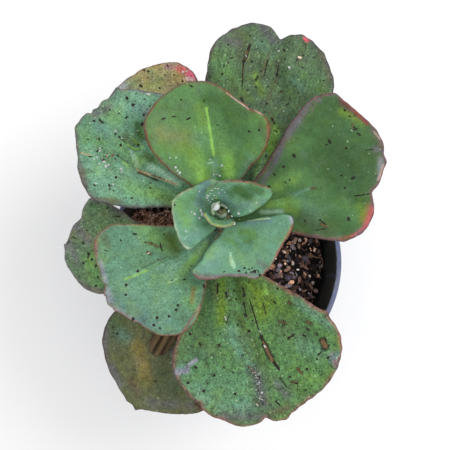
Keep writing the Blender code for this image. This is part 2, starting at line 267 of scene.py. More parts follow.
def feed(wiring, shader, colour, roughness=None, height=None):
    """Links a colour, a roughness and a bump height in millimetres to a shader."""
    wiring.tree.links.new(colour, shader.inputs["Base Color"])
    if roughness is not None:
        wiring.tree.links.new(roughness, shader.inputs["Roughness"])
    if height is not None:
        bump = wiring.node("Bump", {"Height": height, "Distance": MM, "Strength": 1.0})
        wiring.tree.links.new(bump, shader.inputs["Normal"])


# Dust and dirt lie on a surface in patches and grains, which also roughen it.
grime, w, given, leave = effect(
    "grime", (("Colour", "Color"), ("Place", "Vector"), ("Amount", "Float")),
    (("Colour", "Color"), ("Roughness", "Float"), ("Height", "Float")))
patches = w.noise(given["Place"], 0.06, 4.0)
grains = w.noise(given["Place"], 1.3, 3.0, 0.7)
dust = w.maths("MULTIPLY", w.eased(w.maths("ADD", patches, w.maths("MULTIPLY", grains, 0.6)),
                                   0.72, 1.05), given["Amount"])
shade = w.maths("MULTIPLY_ADD", patches, 0.3, 0.85)
w.tree.links.new(w.mixed(dust, w.scaled(given["Colour"], shade), solid(DUST_COLOUR)),
                 leave.inputs["Colour"])
w.tree.links.new(w.maths("MULTIPLY_ADD", dust, 0.4, 0.38), leave.inputs["Roughness"])
w.tree.links.new(w.maths("MULTIPLY", grains, 0.12), leave.inputs["Height"])

pot_plastic, w, shader = finish("pot_plastic")
place = w.place()
x, y, z = (w.node("SeparateXYZ", {0: place}, out=axis) for axis in range(3))
radius = w.maths("SQRT", w.maths("MULTIPLY_ADD", x, x, w.maths("MULTIPLY", y, y)))
wall = w.maths("MULTIPLY_ADD", z, math.tan(math.radians(POT_TAPER)), pot_inside(0.0))
ragged = w.maths("MULTIPLY_ADD", w.noise(place, 0.35, 4.0, 0.7), 1.6, -0.25)
outside = w.eased(w.maths("SUBTRACT", w.maths("SUBTRACT", radius, wall), ragged), -0.15, 0.15)
moulded = w.noise(place, 0.05, 3.0)
skin = w.mixed(w.eased(moulded, 0.3, 0.7), solid(LIP_SHADE), solid(LIP_COLOUR))
grimy = used(w, grime, {"Colour": w.mixed(outside, solid(POT_BLACK), skin), "Place": place,
                        "Amount": w.maths("MULTIPLY", outside, 0.35)})
feed(w, shader, grimy.outputs["Colour"], grimy.outputs["Roughness"], grimy.outputs["Height"])

skirt_end = RIM_HEIGHT - LIP_DROP
skirt_inside = RIM_RADIUS - LIP_SKIN
lip_under = RIM_HEIGHT - 2 * LIP_SKIN
pot_profile = rounded([
    (0.0, POT_FLOOR, 0.0),
    (pot_inside(POT_FLOOR), POT_FLOOR, FLOOR_ROUNDING),
    (pot_inside(RIM_HEIGHT), RIM_HEIGHT, LIP_ROUNDING),
    (RIM_RADIUS, RIM_HEIGHT, LIP_ROUNDING),
    (RIM_RADIUS, skirt_end, LIP_SKIN / 3),
    (skirt_inside, skirt_end, 0.0),
    (skirt_inside, lip_under, 0.0),
    (pot_inside(lip_under) + POT_WALL, lip_under, 0.0),
    (pot_inside(0.0) + POT_WALL, 0.0, FOOT_ROUNDING),
    (0.0, 0.0, 0.0),
], POT_ARC_STEPS)
pot_rings = turned(pot_profile[1:-1], POT_SEGMENTS)
pot_turn = once_round(POT_SEGMENTS)
inner_edge = ((pot_rings[..., 2] > RIM_HEIGHT - 2 * LIP_ROUNDING)
              & (np.hypot(pot_rings[..., 0], pot_rings[..., 1]) < RIM_RADIUS - LIP_WIDTH / 2))
rags = sum(np.sin(count * pot_turn + phase) for count, phase in RAGGED_WAVES)
pot_rings[..., :2] *= 1 - (RAGGEDNESS * rags / RIM_RADIUS * inner_edge)[..., None]
pot_mesh = closed_shell("pot_shape", (0, 0, POT_FLOOR), pot_rings, (0, 0, 0))
pot = shown("moulded_pot", pot_mesh, pot_plastic)

cutters = []
for number in range(DRAIN_HOLES):
    way = math.tau * (number + 0.5) / DRAIN_HOLES
    turn_it = np.array(Matrix.Rotation(way, 3, "Z"))
    out = np.array([DRAIN_RING_RADIUS, 0, 0])
    bore = turned([(DRAIN_HOLE_RADIUS, level) for level in (CUTTER_REACH, -CUTTER_REACH)],
                  BORE_SEGMENTS)
    run = RIM_RADIUS - DRAIN_RING_RADIUS
    half, deep = DRAIN_CHANNEL_WIDTH / 2, DRAIN_CHANNEL_DEPTH
    floor = np.array([(0, -half), (run, -half), (run, half), (0, half)])
    slot = np.stack([np.column_stack([floor, np.full(4, level)]) for level in (deep, -deep)])
    for label, rings in (("bore", bore), ("channel", slot)):
        rings = (rings + out) @ turn_it.T
        mesh = closed_shell(f"{label}_{number}", rings[0].mean(0), rings, rings[-1].mean(0))
        cutter = placed(mesh.name, mesh)
        cut = pot.modifiers.new(mesh.name, "BOOLEAN")
        cut.operation, cut.solver, cut.object = "DIFFERENCE", "EXACT", cutter
        cutters.append(cutter)
drilled = bpy.data.meshes.new_from_object(
    pot.evaluated_get(bpy.context.evaluated_depsgraph_get()))
pot.modifiers.clear()
pot.data = drilled
for cutter in cutters:
    bpy.data.objects.remove(cutter)
drilled.set_sharp_from_angle(angle=math.radians(SHARP_ANGLE))
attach(pot, "root")
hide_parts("pot")

# SOIL
# A coarse bark mix, which fills the pot to 30 mm under its lip: chips of composted bark from
# black to tan, some grit and pale stones, and a rootlet. Its smallest near-white chips, and the
# brightest of the others, are partly grit and partly painted glints of light on the wet bark. It
# lies loose round the stem.
SOIL_LEVEL = 90.0
SOIL_GAP = 0.3
SOIL_RELIEF = 2.2
# The soil's mounds and lumps: share of the relief, length, how many waves, and their seed.
SOIL_WAVES = ((0.6, 26, 9, 5), (0.3, 7, 12, 6))
SOIL_AROUND = 160
SOIL_RINGS_ACROSS = 54
SOIL_SIDE_DROP = 6
SOIL_ARC_STEPS = 4
CHIP_COUNT = 3600
STEM_AT_SOIL = (0.0, 4.0)
STEM_AT_CROWN = (-1.5, 26.5)
CROWN_HEIGHT = 182.0
STEM_RADIUS = 9.5
BED_COLOUR = (38, 29, 26)
BED_SHADE = (18, 14, 13)
# Chip colours, and how often each comes. The last is partly pale grit and partly painted glints.
CHIP_COLOURS = (((34, 26, 25), 0.20), ((92, 68, 60), 0.22), ((138, 102, 88), 0.17),
                ((190, 142, 118), 0.13), ((226, 188, 162), 0.09), ((140, 128, 142), 0.09),
                ((250, 240, 230), 0.10))


def random_waves(x, y, length, count, seed):
    """Low relief from -1 to 1: the mean of sine waves about one length long, each with a way,
    a length and a phase of its own."""
    draw = np.random.default_rng(seed)
    way = draw.uniform(0, math.tau, count)
    size = draw.uniform(0.7, 1.5, count)
    phase = draw.uniform(0, math.tau, count)
    total = 0
    for turn, factor, start in zip(way, size, phase):
        along = x * math.cos(turn) + y * math.sin(turn)
        total = total + np.sin(along * math.tau / (length * factor) + start)
    return total / math.sqrt(count)


def soil_height(x, y):
    """The soil's surface: its level, with broad mounds and small lumps."""
    return sum((SOIL_RELIEF * share * random_waves(x, y, length, count, seed)
                for share, length, count, seed in SOIL_WAVES), SOIL_LEVEL)


def give(mesh, name, values):
    """Stores a number, a vector or a colour on each vertex of a mesh."""
    kind, key = {(): ("FLOAT", "value"), (3,): ("FLOAT_VECTOR", "vector"),
                 (4,): ("FLOAT_COLOR", "color")}[values.shape[1:]]
    attribute = mesh.attributes.new(name, kind, "POINT")
    attribute.data.foreach_set(key, np.ascontiguousarray(values, np.float32).ravel())


def with_alpha(colours):
    """Colours with a column of full alpha."""
    return np.column_stack([colours, np.ones(len(colours))])


GOLDEN = (1 + math.sqrt(5)) / 2
CHIP_CORNERS = np.array([(0, s, t * GOLDEN) for s in (1, -1) for t in (1, -1)])
CHIP_CORNERS = np.concatenate([np.roll(CHIP_CORNERS, turn, axis=1) for turn in range(3)])
CHIP_CORNERS /= np.linalg.norm(CHIP_CORNERS[0])


def hull_faces(corners):
    """The triangles of a convex body, facing out: each three corners whose plane has all the
    others behind it."""
    faces = []
    count = len(corners)
    for a in range(count):
        for b in range(a + 1, count):
            for c in range(b + 1, count):
                normal = np.cross(corners[b] - corners[a], corners[c] - corners[a])
                side = (corners - corners[a]) @ normal
                if np.all(side < 1e-6):
                    faces.append((a, b, c))
                elif np.all(side > -1e-6):
                    faces.append((a, c, b))
    return np.array(faces)


CHIP_FACES = hull_faces(CHIP_CORNERS)


def about(axis, angles):
    """A matrix for each angle in radians, which turns about one axis: 0, 1 or 2 for X, Y or Z."""
    made = np.zeros((len(angles), 3, 3))
    made[:, axis, axis] = 1.0
    first, second = (axis + 1) % 3, (axis + 2) % 3
    made[:, first, first] = made[:, second, second] = np.cos(angles)
    made[:, second, first] = np.sin(angles)
    made[:, first, second] = -made[:, second, first]
    return made


def turns(draw, count, tilt):
    """Random turns as matrices: any way round Z, after a tilt of up to so many degrees."""
    lean = np.radians(draw.uniform(-tilt, tilt, (count, 2)))
    spin = draw.uniform(0, math.tau, count)
    return about(2, spin) @ about(1, lean[:, 1]) @ about(0, lean[:, 0])


def chips(name, centres, sizes, turned_by, tones, draw):
    """One mesh of small broken bodies: each is a ball of twenty faces whose corners are pushed
    in or out at random, stretched to its size, turned, and put at its centre."""
    dents = draw.uniform(0.72, 1.2, (len(centres), len(CHIP_CORNERS), 1))
    corners = CHIP_CORNERS * dents * np.asarray(sizes)[:, None, :] / 2
    corners = np.einsum("nij,nkj->nki", turned_by, corners) + np.asarray(centres)[:, None, :]
    faces = CHIP_FACES + len(CHIP_CORNERS) * np.arange(len(centres))[:, None, None]
    mesh = bpy.data.meshes.new(name)
    mesh.from_pydata((corners.reshape(-1, 3) * MM).tolist(), [], faces.reshape(-1, 3).tolist())
    give(mesh, "tone", with_alpha(np.repeat(tones, len(CHIP_CORNERS), axis=0)))
    return mesh


bed_edge = pot_inside(SOIL_LEVEL) - SOIL_GAP
bed_bottom = POT_FLOOR + SOIL_GAP
bed_rings = turned(np.column_stack([np.linspace(0, bed_edge, SOIL_RINGS_ACROSS + 1)[1:],
                                    np.zeros(SOIL_RINGS_ACROSS)]), SOIL_AROUND)
bed_rings[..., 2] = soil_height(bed_rings[..., 0], bed_rings[..., 1])
bed_side = turned(rounded([(bed_edge, SOIL_LEVEL - SOIL_SIDE_DROP, 0.0),
                           (pot_inside(bed_bottom) - SOIL_GAP, bed_bottom, FLOOR_ROUNDING),
                           (0.0, bed_bottom, 0.0)], SOIL_ARC_STEPS)[:-1], SOIL_AROUND)
bed_mesh = closed_shell("soil_shape", (0, 0, soil_height(0.0, 0.0)),
                        np.concatenate([bed_rings, bed_side]), (0, 0, bed_bottom))

bark_soil, w, shader = finish("bark_soil", {"Roughness": 0.95})
place = w.place()
crumbs = w.noise(place, 0.55, 5.0, 0.7)
tint = w.mixed(w.eased(crumbs, 0.35, 0.75), solid(BED_SHADE), solid(BED_COLOUR))
feed(w, shader, tint, None, w.maths("MULTIPLY", crumbs, 1.5))
bed = shown("soil_bed", bed_mesh, bark_soil)
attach(bed, "root")
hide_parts("soil")

bark_chips, w, shader = finish("bark_chips")
fibres = w.noise(w.stretched(w.place(), (1.0, 1.0, 2.5)), 0.9, 4.0, 0.65)
tint = w.scaled(w.stored("tone", "Color"), w.maths("MULTIPLY_ADD", fibres, 2.2, 0.0))
feed(w, shader, tint, w.eased(fibres, 0.3, 0.7, 0.6, 0.95), w.maths("MULTIPLY", fibres, 0.5))

# The strewn chips: their lengths, their widths and thicknesses as shares of the length, the
# powers that make most of them short and dark, the pale ones' size, and how high they lie.
CHIP_LENGTHS = (1.3, 6.5)
CHIP_WIDTHS = (0.24, 0.7)
CHIP_THICKNESSES = (0.2, 0.5)
MOSTLY_SHORT = 2.2
CHIP_TONES = (0.32, 3.72)
MOSTLY_DARK = 2.6
PALE_CHIP_SIZE = 0.65
CHIPS_LIE = (-0.2, 1.4)
CHIP_TILT = 35
CHIPS_OFF_WALL = 0.8
CHIPS_OFF_STEM = 1.0
draw = np.random.default_rng(11)
out = np.sqrt(draw.uniform(0, 1, CHIP_COUNT)) * (bed_edge - CHIPS_OFF_WALL)
way = draw.uniform(0, math.tau, CHIP_COUNT)
at_x, at_y = out * np.cos(way), out * np.sin(way)
clear = np.hypot(at_x - STEM_AT_SOIL[0], at_y - STEM_AT_SOIL[1]) > STEM_RADIUS + CHIPS_OFF_STEM
at_x, at_y = at_x[clear], at_y[clear]
length = CHIP_LENGTHS[0] + np.ptp(CHIP_LENGTHS) * draw.uniform(0, 1, len(at_x)) ** MOSTLY_SHORT
chip_sizes = np.column_stack([length, length * draw.uniform(*CHIP_WIDTHS, len(at_x)),
                              length * draw.uniform(*CHIP_THICKNESSES, len(at_x))])
shares = np.array([share for _, share in CHIP_COLOURS])
kinds = draw.choice(len(CHIP_COLOURS), len(at_x), p=shares / shares.sum())
chip_tones = np.array([linear(colour) for colour, _ in CHIP_COLOURS])[kinds]
chip_tones = chip_tones * (CHIP_TONES[0] + np.ptp(CHIP_TONES)
                           * draw.uniform(0, 1, (len(at_x), 1)) ** MOSTLY_DARK)
# The pale chips stay small: they are partly grit and partly painted glints of light.
pale = kinds == len(CHIP_COLOURS) - 1
chip_sizes[pale] *= PALE_CHIP_SIZE
chip_centres = np.column_stack([at_x, at_y, soil_height(at_x, at_y)
                                + draw.uniform(*CHIPS_LIE, len(at_x))])
# Larger pieces in the gaps on the right and on the left: (x, y, long, wide, thick, the way that
# its length points, colour).
LARGE_PIECES = (
    (43.6, 17.8, 1.9, 1.5, 1.0, 0, (238, 200, 192)), (47.3, 13.4, 2.8, 2.8, 2.0, 0, (250, 226, 214)),
    (50.4, 14.4, 1.6, 1.2, 0.9, 0, (236, 214, 204)), (44.2, 11.6, 1.6, 1.2, 0.9, 0, (226, 196, 184)),
    (49.8, 11.6, 2.2, 1.9, 1.3, 0, (196, 140, 112)), (42.9, -0.9, 3.1, 1.9, 1.3, 90, (246, 222, 204)),
    (39.8, -3.4, 1.9, 1.6, 1.1, 0, (206, 188, 176)), (55.3, -13.3, 2.7, 2.1, 1.5, 90, (200, 190, 186)),
    (57.2, -18.3, 3.4, 3.1, 2.2, 0, (176, 140, 132)), (39.8, -15.2, 5.0, 2.5, 1.7, 0, (150, 144, 160)),
    (50.4, 2.2, 5.6, 5.0, 3.5, 0, (110, 98, 110)), (33.6, -5.2, 4.3, 2.9, 2.0, 0, (150, 140, 150)),
    (36.1, -7.7, 2.2, 1.2, 0.9, 0, (170, 110, 110)), (39.8, -10.2, 5.6, 5.0, 3.5, 0, (104, 92, 108)),
    (59.8, 4.1, 1.9, 1.2, 0.9, 0, (206, 196, 186)), (61.0, -2.8, 2.1, 1.9, 1.3, 90, (176, 170, 158)),
    (53.6, 12.8, 2.5, 2.2, 1.5, 0, (96, 106, 124)), (39.2, 0.4, 1.9, 1.2, 0.9, 0, (170, 184, 186)),
    (44.8, 4.1, 2.5, 1.0, 0.7, 90, (150, 130, 124)), (59.1, 6.6, 1.9, 1.0, 0.7, 90, (190, 180, 170)),
    (49.1, -18.3, 2.5, 1.9, 1.3, 0, (150, 110, 84)), (-56.2, 33.4, 3.7, 2.5, 1.7, 0, (104, 104, 106)),
    (-51.2, 32.1, 3.1, 2.1, 1.5, 0, (90, 90, 92)), (-46.2, 33.4, 4.3, 2.5, 1.7, 0, (112, 110, 114)),
    (-41.2, 31.5, 3.1, 2.2, 1.6, 0, (96, 96, 98)), (-36.2, 32.8, 2.5, 1.9, 1.3, 0, (84, 82, 84)),
    (-48.7, 30.3, 2.5, 1.9, 1.3, 0, (120, 112, 108)),
)
LARGE_PIECES_LIE = 1.8
large = np.array([row[:6] for row in LARGE_PIECES])
# Flakes of bark and fibres that lie in the gap on the left, heaped towards the pot's wall.
FLAKE_COUNT = 520
FLAKE_COLOURS = ((184, 132, 110), (232, 184, 160), (136, 94, 76), (60, 40, 36), (250, 214, 192))
FLAKE_PLACE = ((-62.0, -30.0), (18.0, 31.0))
FLAKE_SIZES = ((1.6, 5.5), (0.5, 1.3), (0.3, 0.7))
FLAKE_REACH = 61.5
FLAKE_TILT = 14
FLAKES_LIE = (0.6, 2.2)
HEAP_HEIGHT = 13.0
HEAP_START = -42.0
HEAP_LENGTH = 14
HEAP_HOLLOW = 1.2
flakes = np.column_stack([draw.uniform(*span, FLAKE_COUNT) for span in FLAKE_PLACE])
flakes *= np.minimum(1, FLAKE_REACH / np.hypot(*flakes.T))[:, None]
flake_sizes = np.column_stack([draw.uniform(*span, FLAKE_COUNT) for span in FLAKE_SIZES])
flake_tones = np.array([linear(colour) for colour in FLAKE_COLOURS])
flake_tones = flake_tones[draw.integers(0, len(FLAKE_COLOURS), FLAKE_COUNT)]
laid = np.concatenate([flakes, large[:, :2]])
heap = HEAP_HEIGHT * np.clip((HEAP_START - flakes[:, 0]) / HEAP_LENGTH, 0, 1) ** HEAP_HOLLOW
flakes_lie = draw.uniform(*FLAKES_LIE, FLAKE_COUNT) + heap * draw.uniform(0.6, 1, FLAKE_COUNT)
above_bed = np.concatenate([flakes_lie, np.full(len(large), LARGE_PIECES_LIE)])
chip_turns = turns(draw, len(chip_centres), CHIP_TILT)
flake_turns = turns(draw, FLAKE_COUNT, FLAKE_TILT)
chip_turns = np.concatenate([chip_turns, flake_turns, about(2, np.radians(large[:, 5]))])
chip_centres = np.concatenate([chip_centres, np.column_stack(
    [laid, soil_height(laid[:, 0], laid[:, 1]) + above_bed])])
chip_sizes = np.concatenate([chip_sizes, flake_sizes, large[:, 2:5]])
chip_tones = np.concatenate([chip_tones, flake_tones, [linear(row[6]) for row in LARGE_PIECES]])
bits = shown("soil_chips", chips("chip_shapes", chip_centres, chip_sizes, chip_turns,
                                 chip_tones, draw), bark_chips)
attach(bits, "root")


def along_path(name, path, radii, around):
    """A round rod carried along a path of points, with a radius at each, closed at both ends."""
    path, radii = np.asarray(path, float), np.asarray(radii, float)
    ahead = unit(np.gradient(path, axis=0))
    side = unit(np.cross(ahead, (0.0, 0.0, 1.0)))
    up = np.cross(side, ahead)
    turn = once_round(around)
    rings = (path[:, None] + radii[:, None, None]
             * (side[:, None] * np.cos(turn)[:, None] - up[:, None] * np.sin(turn)[:, None]))
    return closed_shell(name, path[0], rings, path[-1])


# A rootlet in the gap on the right: (x, y, how far above the bed).
TWIG = np.array([(53.2, 5.3, 2.2), (55.1, 3.5, 3.6), (57.6, 2.5, 4.0),
                 (60.0, 2.8, 3.6), (61.3, 1.0, 2.8), (61.3, -2.7, 1.6)])
TWIG_RADII = (0.55, 0.3)
TWIG_POINTS = 26
TWIG_AROUND = 10
TWIG_COLOUR = (150, 118, 88)
twig_path = np.column_stack([TWIG[:, :2], soil_height(TWIG[:, 0], TWIG[:, 1]) + TWIG[:, 2]])
smooth = np.linspace(0, len(TWIG) - 1, TWIG_POINTS)
twig_path = np.column_stack([np.interp(smooth, range(len(TWIG)), line) for line in twig_path.T])
twig_radii = np.linspace(*TWIG_RADII, TWIG_POINTS)
twig_mesh = along_path("twig_shape", twig_path, twig_radii, TWIG_AROUND)
give(twig_mesh, "tone", with_alpha(np.tile(linear(TWIG_COLOUR), (len(twig_mesh.vertices), 1))))
twig = shown("twig", twig_mesh, bark_chips)
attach(twig, "root")

# STEM
# The bare woody stem, which leans towards +Y and narrows up to the growing tip. Each leaf that
# fell left a crescent-shaped scar, and these wind up it a third of a turn or so apart.
CROWN_RADIUS = 3.5
STEM_NARROWING = 1.5
STEM_DEPTH = 24.0
STEM_DOME = 1.8
STEM_AROUND = 120
STEM_ROWS = 150
SCAR_STEP = 4.2
SCAR_TURN = 137.5
SCAR_RISE = 0.55
SCAR_BEND = 2.0
SCAR_HALF_WIDTH = 0.9
# The stem's skin between the scars lies a little inside the stem's radius, with a low grain.
SKIN_INSET = 0.35
BARK_RELIEF = 0.12
STEM_TAN = (150, 126, 92)
STEM_DARK = (74, 56, 42)
STEM_GREEN = (112, 124, 74)
STEM_FOOT = np.array([*STEM_AT_SOIL, SOIL_LEVEL])
STEM_TIP = np.array([*STEM_AT_CROWN, CROWN_HEIGHT])
STEM_LENGTH = np.linalg.norm(STEM_TIP - STEM_FOOT)
STEM_AXIS = (STEM_TIP - STEM_FOOT) / STEM_LENGTH


def stem_radius(along):
    """Radius of the stem at a distance along its axis from the soil."""
    share = np.clip(np.asarray(along, float) / STEM_LENGTH, 0.0, 1.0)
    return STEM_RADIUS - (STEM_RADIUS - CROWN_RADIUS) * share**STEM_NARROWING


def stem_scars(turn, along):
    """How much of a leaf scar there is at an angle round the stem and a distance along it: each
    scar is a band bent into a crescent, two thirds of the way round the stem at its widest."""
    most = np.zeros(np.broadcast(turn, along).shape)
    for number in range(int((STEM_LENGTH + STEM_DEPTH) / SCAR_STEP)):
        middle = math.radians(number * SCAR_TURN)
        off = (turn - middle + math.pi) % math.tau - math.pi
        height = along - (number * SCAR_STEP - STEM_DEPTH + SCAR_BEND * np.cos(off))
        band = np.exp(-(height / SCAR_HALF_WIDTH) ** 2)
        band = band * np.clip(1.4 * np.cos(off / 2.2) ** 3 - 0.3, 0, 1)
        most = np.maximum(most, band)
    return most


stem_turn = once_round(STEM_AROUND)
stem_along = np.linspace(STEM_LENGTH, -STEM_DEPTH, STEM_ROWS)[:, None]
scars = stem_scars(stem_turn, stem_along)
bark = random_waves(stem_turn * STEM_RADIUS, stem_along * 0.3, 2.2, 10, 21)
skin_radius = stem_radius(stem_along) - SKIN_INSET + SCAR_RISE * scars + BARK_RELIEF * bark
dome = np.array([[0.35, STEM_DOME * 0.95], [0.7, STEM_DOME * 0.7], [0.92, STEM_DOME * 0.3]])
level_side = unit(np.cross(STEM_AXIS, (1.0, 0.0, 0.0)))
stem_sides = np.stack([np.cross(level_side, STEM_AXIS), level_side])
round_it = np.column_stack([np.cos(stem_turn), np.sin(stem_turn)]) @ stem_sides
tip_rings = (STEM_FOOT + STEM_AXIS * (STEM_LENGTH + dome[:, 1, None, None])
             + round_it * (dome[:, 0] * (CROWN_RADIUS - SKIN_INSET))[:, None, None])
stem_rings = STEM_FOOT + STEM_AXIS * stem_along[..., None] + round_it * skin_radius[..., None]
stem_mesh = closed_shell("stem_shape", STEM_FOOT + STEM_AXIS * (STEM_LENGTH + STEM_DOME),
                         np.concatenate([tip_rings, stem_rings]), STEM_FOOT - STEM_AXIS * STEM_DEPTH)
caps = np.zeros(len(dome) * STEM_AROUND + 1)
give(stem_mesh, "scar", np.concatenate([caps, scars.ravel(), [0.0]]))
high = np.clip((stem_along + 0 * scars).ravel() / STEM_LENGTH, 0, 1)
give(stem_mesh, "young", np.concatenate([caps + 1, high**3, [0.0]]))

woody_stem, w, shader = finish("woody_stem")
place = w.place()
grain = w.noise(w.stretched(place, (1.0, 1.0, 0.25)), 0.8, 4.0, 0.65)
tint = w.mixed(w.eased(grain, 0.3, 0.7), solid(STEM_DARK), solid(STEM_TAN))
tint = w.mixed(w.maths("MULTIPLY", w.stored("young"), 0.8), tint, solid(STEM_GREEN))
tint = w.mixed(w.maths("MULTIPLY", w.stored("scar"), 0.65), tint, solid(STEM_DARK))
grimy = used(w, grime, {"Colour": tint, "Place": place, "Amount": 0.5})
rough = w.maths("ADD", grimy.outputs["Roughness"], 0.3)
feed(w, shader, grimy.outputs["Colour"], rough, w.maths("MULTIPLY", grain, 0.7))
stem = shown("woody_stem", stem_mesh, woody_stem)
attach(stem, "root")
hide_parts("stem")

# LEAVES
# Broad, fleshy spoon-shaped leaves with a waxy bloom. Each grew from the stem on a short stalk,
# the oldest at the bottom. They are cupped about a sunken midrib, their margins are thin, waved
# and tinged with red, and rain, grit and age have left specks, scars and dried streaks on them.
WIDTH_STATIONS = np.array([0.0, 0.25, 0.5, 0.75, 0.9])
BLADE_CENTRE = 0.62
TIP_BLUNTNESS = 8
BASE_ROUNDING = 0.04
PETIOLE_CUP = 40.0
BASE_IN_STEM = 1.0
SINK = 0.35
BLADE_THICKNESS = 2.6
MARGIN_ROUNDING = 2.6
# The relief of a leaf as long as FULL_RELIEF or longer: the height of its waves, their length,
# and how many are summed. The crinkle fades away from the margin.
FULL_RELIEF = 70
SWELL = (0.55, 30, 7)
FINE_RELIEF = (0.13, 8, 9)
CRINKLE = (0.4, 11, 8)
CRINKLE_REACH = 5
# The line along a margin varies in width by this share, and has a faint glow inside it: its
# strength and how many times wider it is.
HEM_UNEVENNESS = 0.35
HEM_GLOW = 0.18
HEM_GLOW_WIDTH = 3.2
FLECKS_A_SQUARE_MM = 2.6
FLECK_SIZES = (0.16, 0.42)
# Slow waves of every outline: their height as a share of the reach, how many go round, and by
# how many times the leaf's azimuth they are shifted.
UNEVENNESS = ((0.009, 5, 1), (0.006, 8, 3))
NICK_DEPTH = 0.0035
NICK_LENGTH = 5.0
LEAF_RINGS_BELOW = 14
VEIN_SPREAD = 30.0

# "lit" is yellow-green as it looks in full light, and "shaded_yellow" as it looks in the shade of
# another leaf: strokes in them are painted light and painted shade.
LEAF_COLOURS = {
    "pale_bloom": (166, 196, 172), "glaucous": (134, 172, 146), "blue_green": (112, 152, 126),
    "blue_grey": (112, 142, 140), "fresh": (122, 162, 92), "lit": (156, 200, 96),
    "mid": (100, 140, 84), "sage": (96, 118, 84), "deep": (72, 106, 60), "dark": (54, 82, 44),
    "yellow_green": (120, 148, 48), "shaded_yellow": (84, 106, 46), "olive": (104, 104, 74),
    "dark_olive": (74, 82, 56), "ochre": (146, 118, 50), "bronze": (104, 82, 66),
    "grey_purple": (112, 102, 110), "lilac": (168, 160, 180), "maroon": (92, 44, 50),
    "purple_brown": (80, 50, 56), "red_brown": (150, 62, 54), "rose": (196, 92, 104),
    "pink": (244, 96, 132), "pale_pink": (222, 176, 178), "tan": (192, 158, 122),
    "cream": (214, 218, 190), "sand": (150, 132, 98), "brick": (168, 84, 70),
    "dull_rose": (176, 112, 108), "plum": (162, 104, 120), "straw": (196, 190, 112),
}
# The skin itself is darker than these colours, which are as seen under the lamp and the sky.
SKIN_DEPTH = np.array([0.62, 0.73, 0.69])


@dataclass
class Leaf:
    """One leaf. azimuth is the way it points, anticlockwise from +X, and height is where its
    base meets the stem. petiole is the width there. left and right are the half-widths at a
    quarter, a half, three quarters and nine tenths of its length. It leaves the stem at the
    angle rise above the horizontal and ends at the angle tip_rise. cup bends each half of the
    blade upwards, and roll turns the blade about its midrib. thick is the thickness at the base
    and in the blade. A notch is (its direction from the blade's centre, its depth in percent of
    the leaf's reach, its half-width in degrees), and a negative depth is a point. ruffle is a
    wave of the margin: (its height, the number of waves, its phase). specks, streaks and
    contrast say how many dark specks it has, how strongly its colour runs along the veins, and
    how mottled it is."""

    name: str
    azimuth: float
    height: float
    length: float
    petiole: float
    left: tuple
    right: tuple
    rise: float
    tip_rise: float
    cup: float
    slot: str
    specks: float
    streaks: float
    contrast: float
    notches: tuple = ()
    ruffle: tuple = (0.0, 3, 0)
    roll: float = 0.0
    thick: tuple = (6.0, BLADE_THICKNESS)


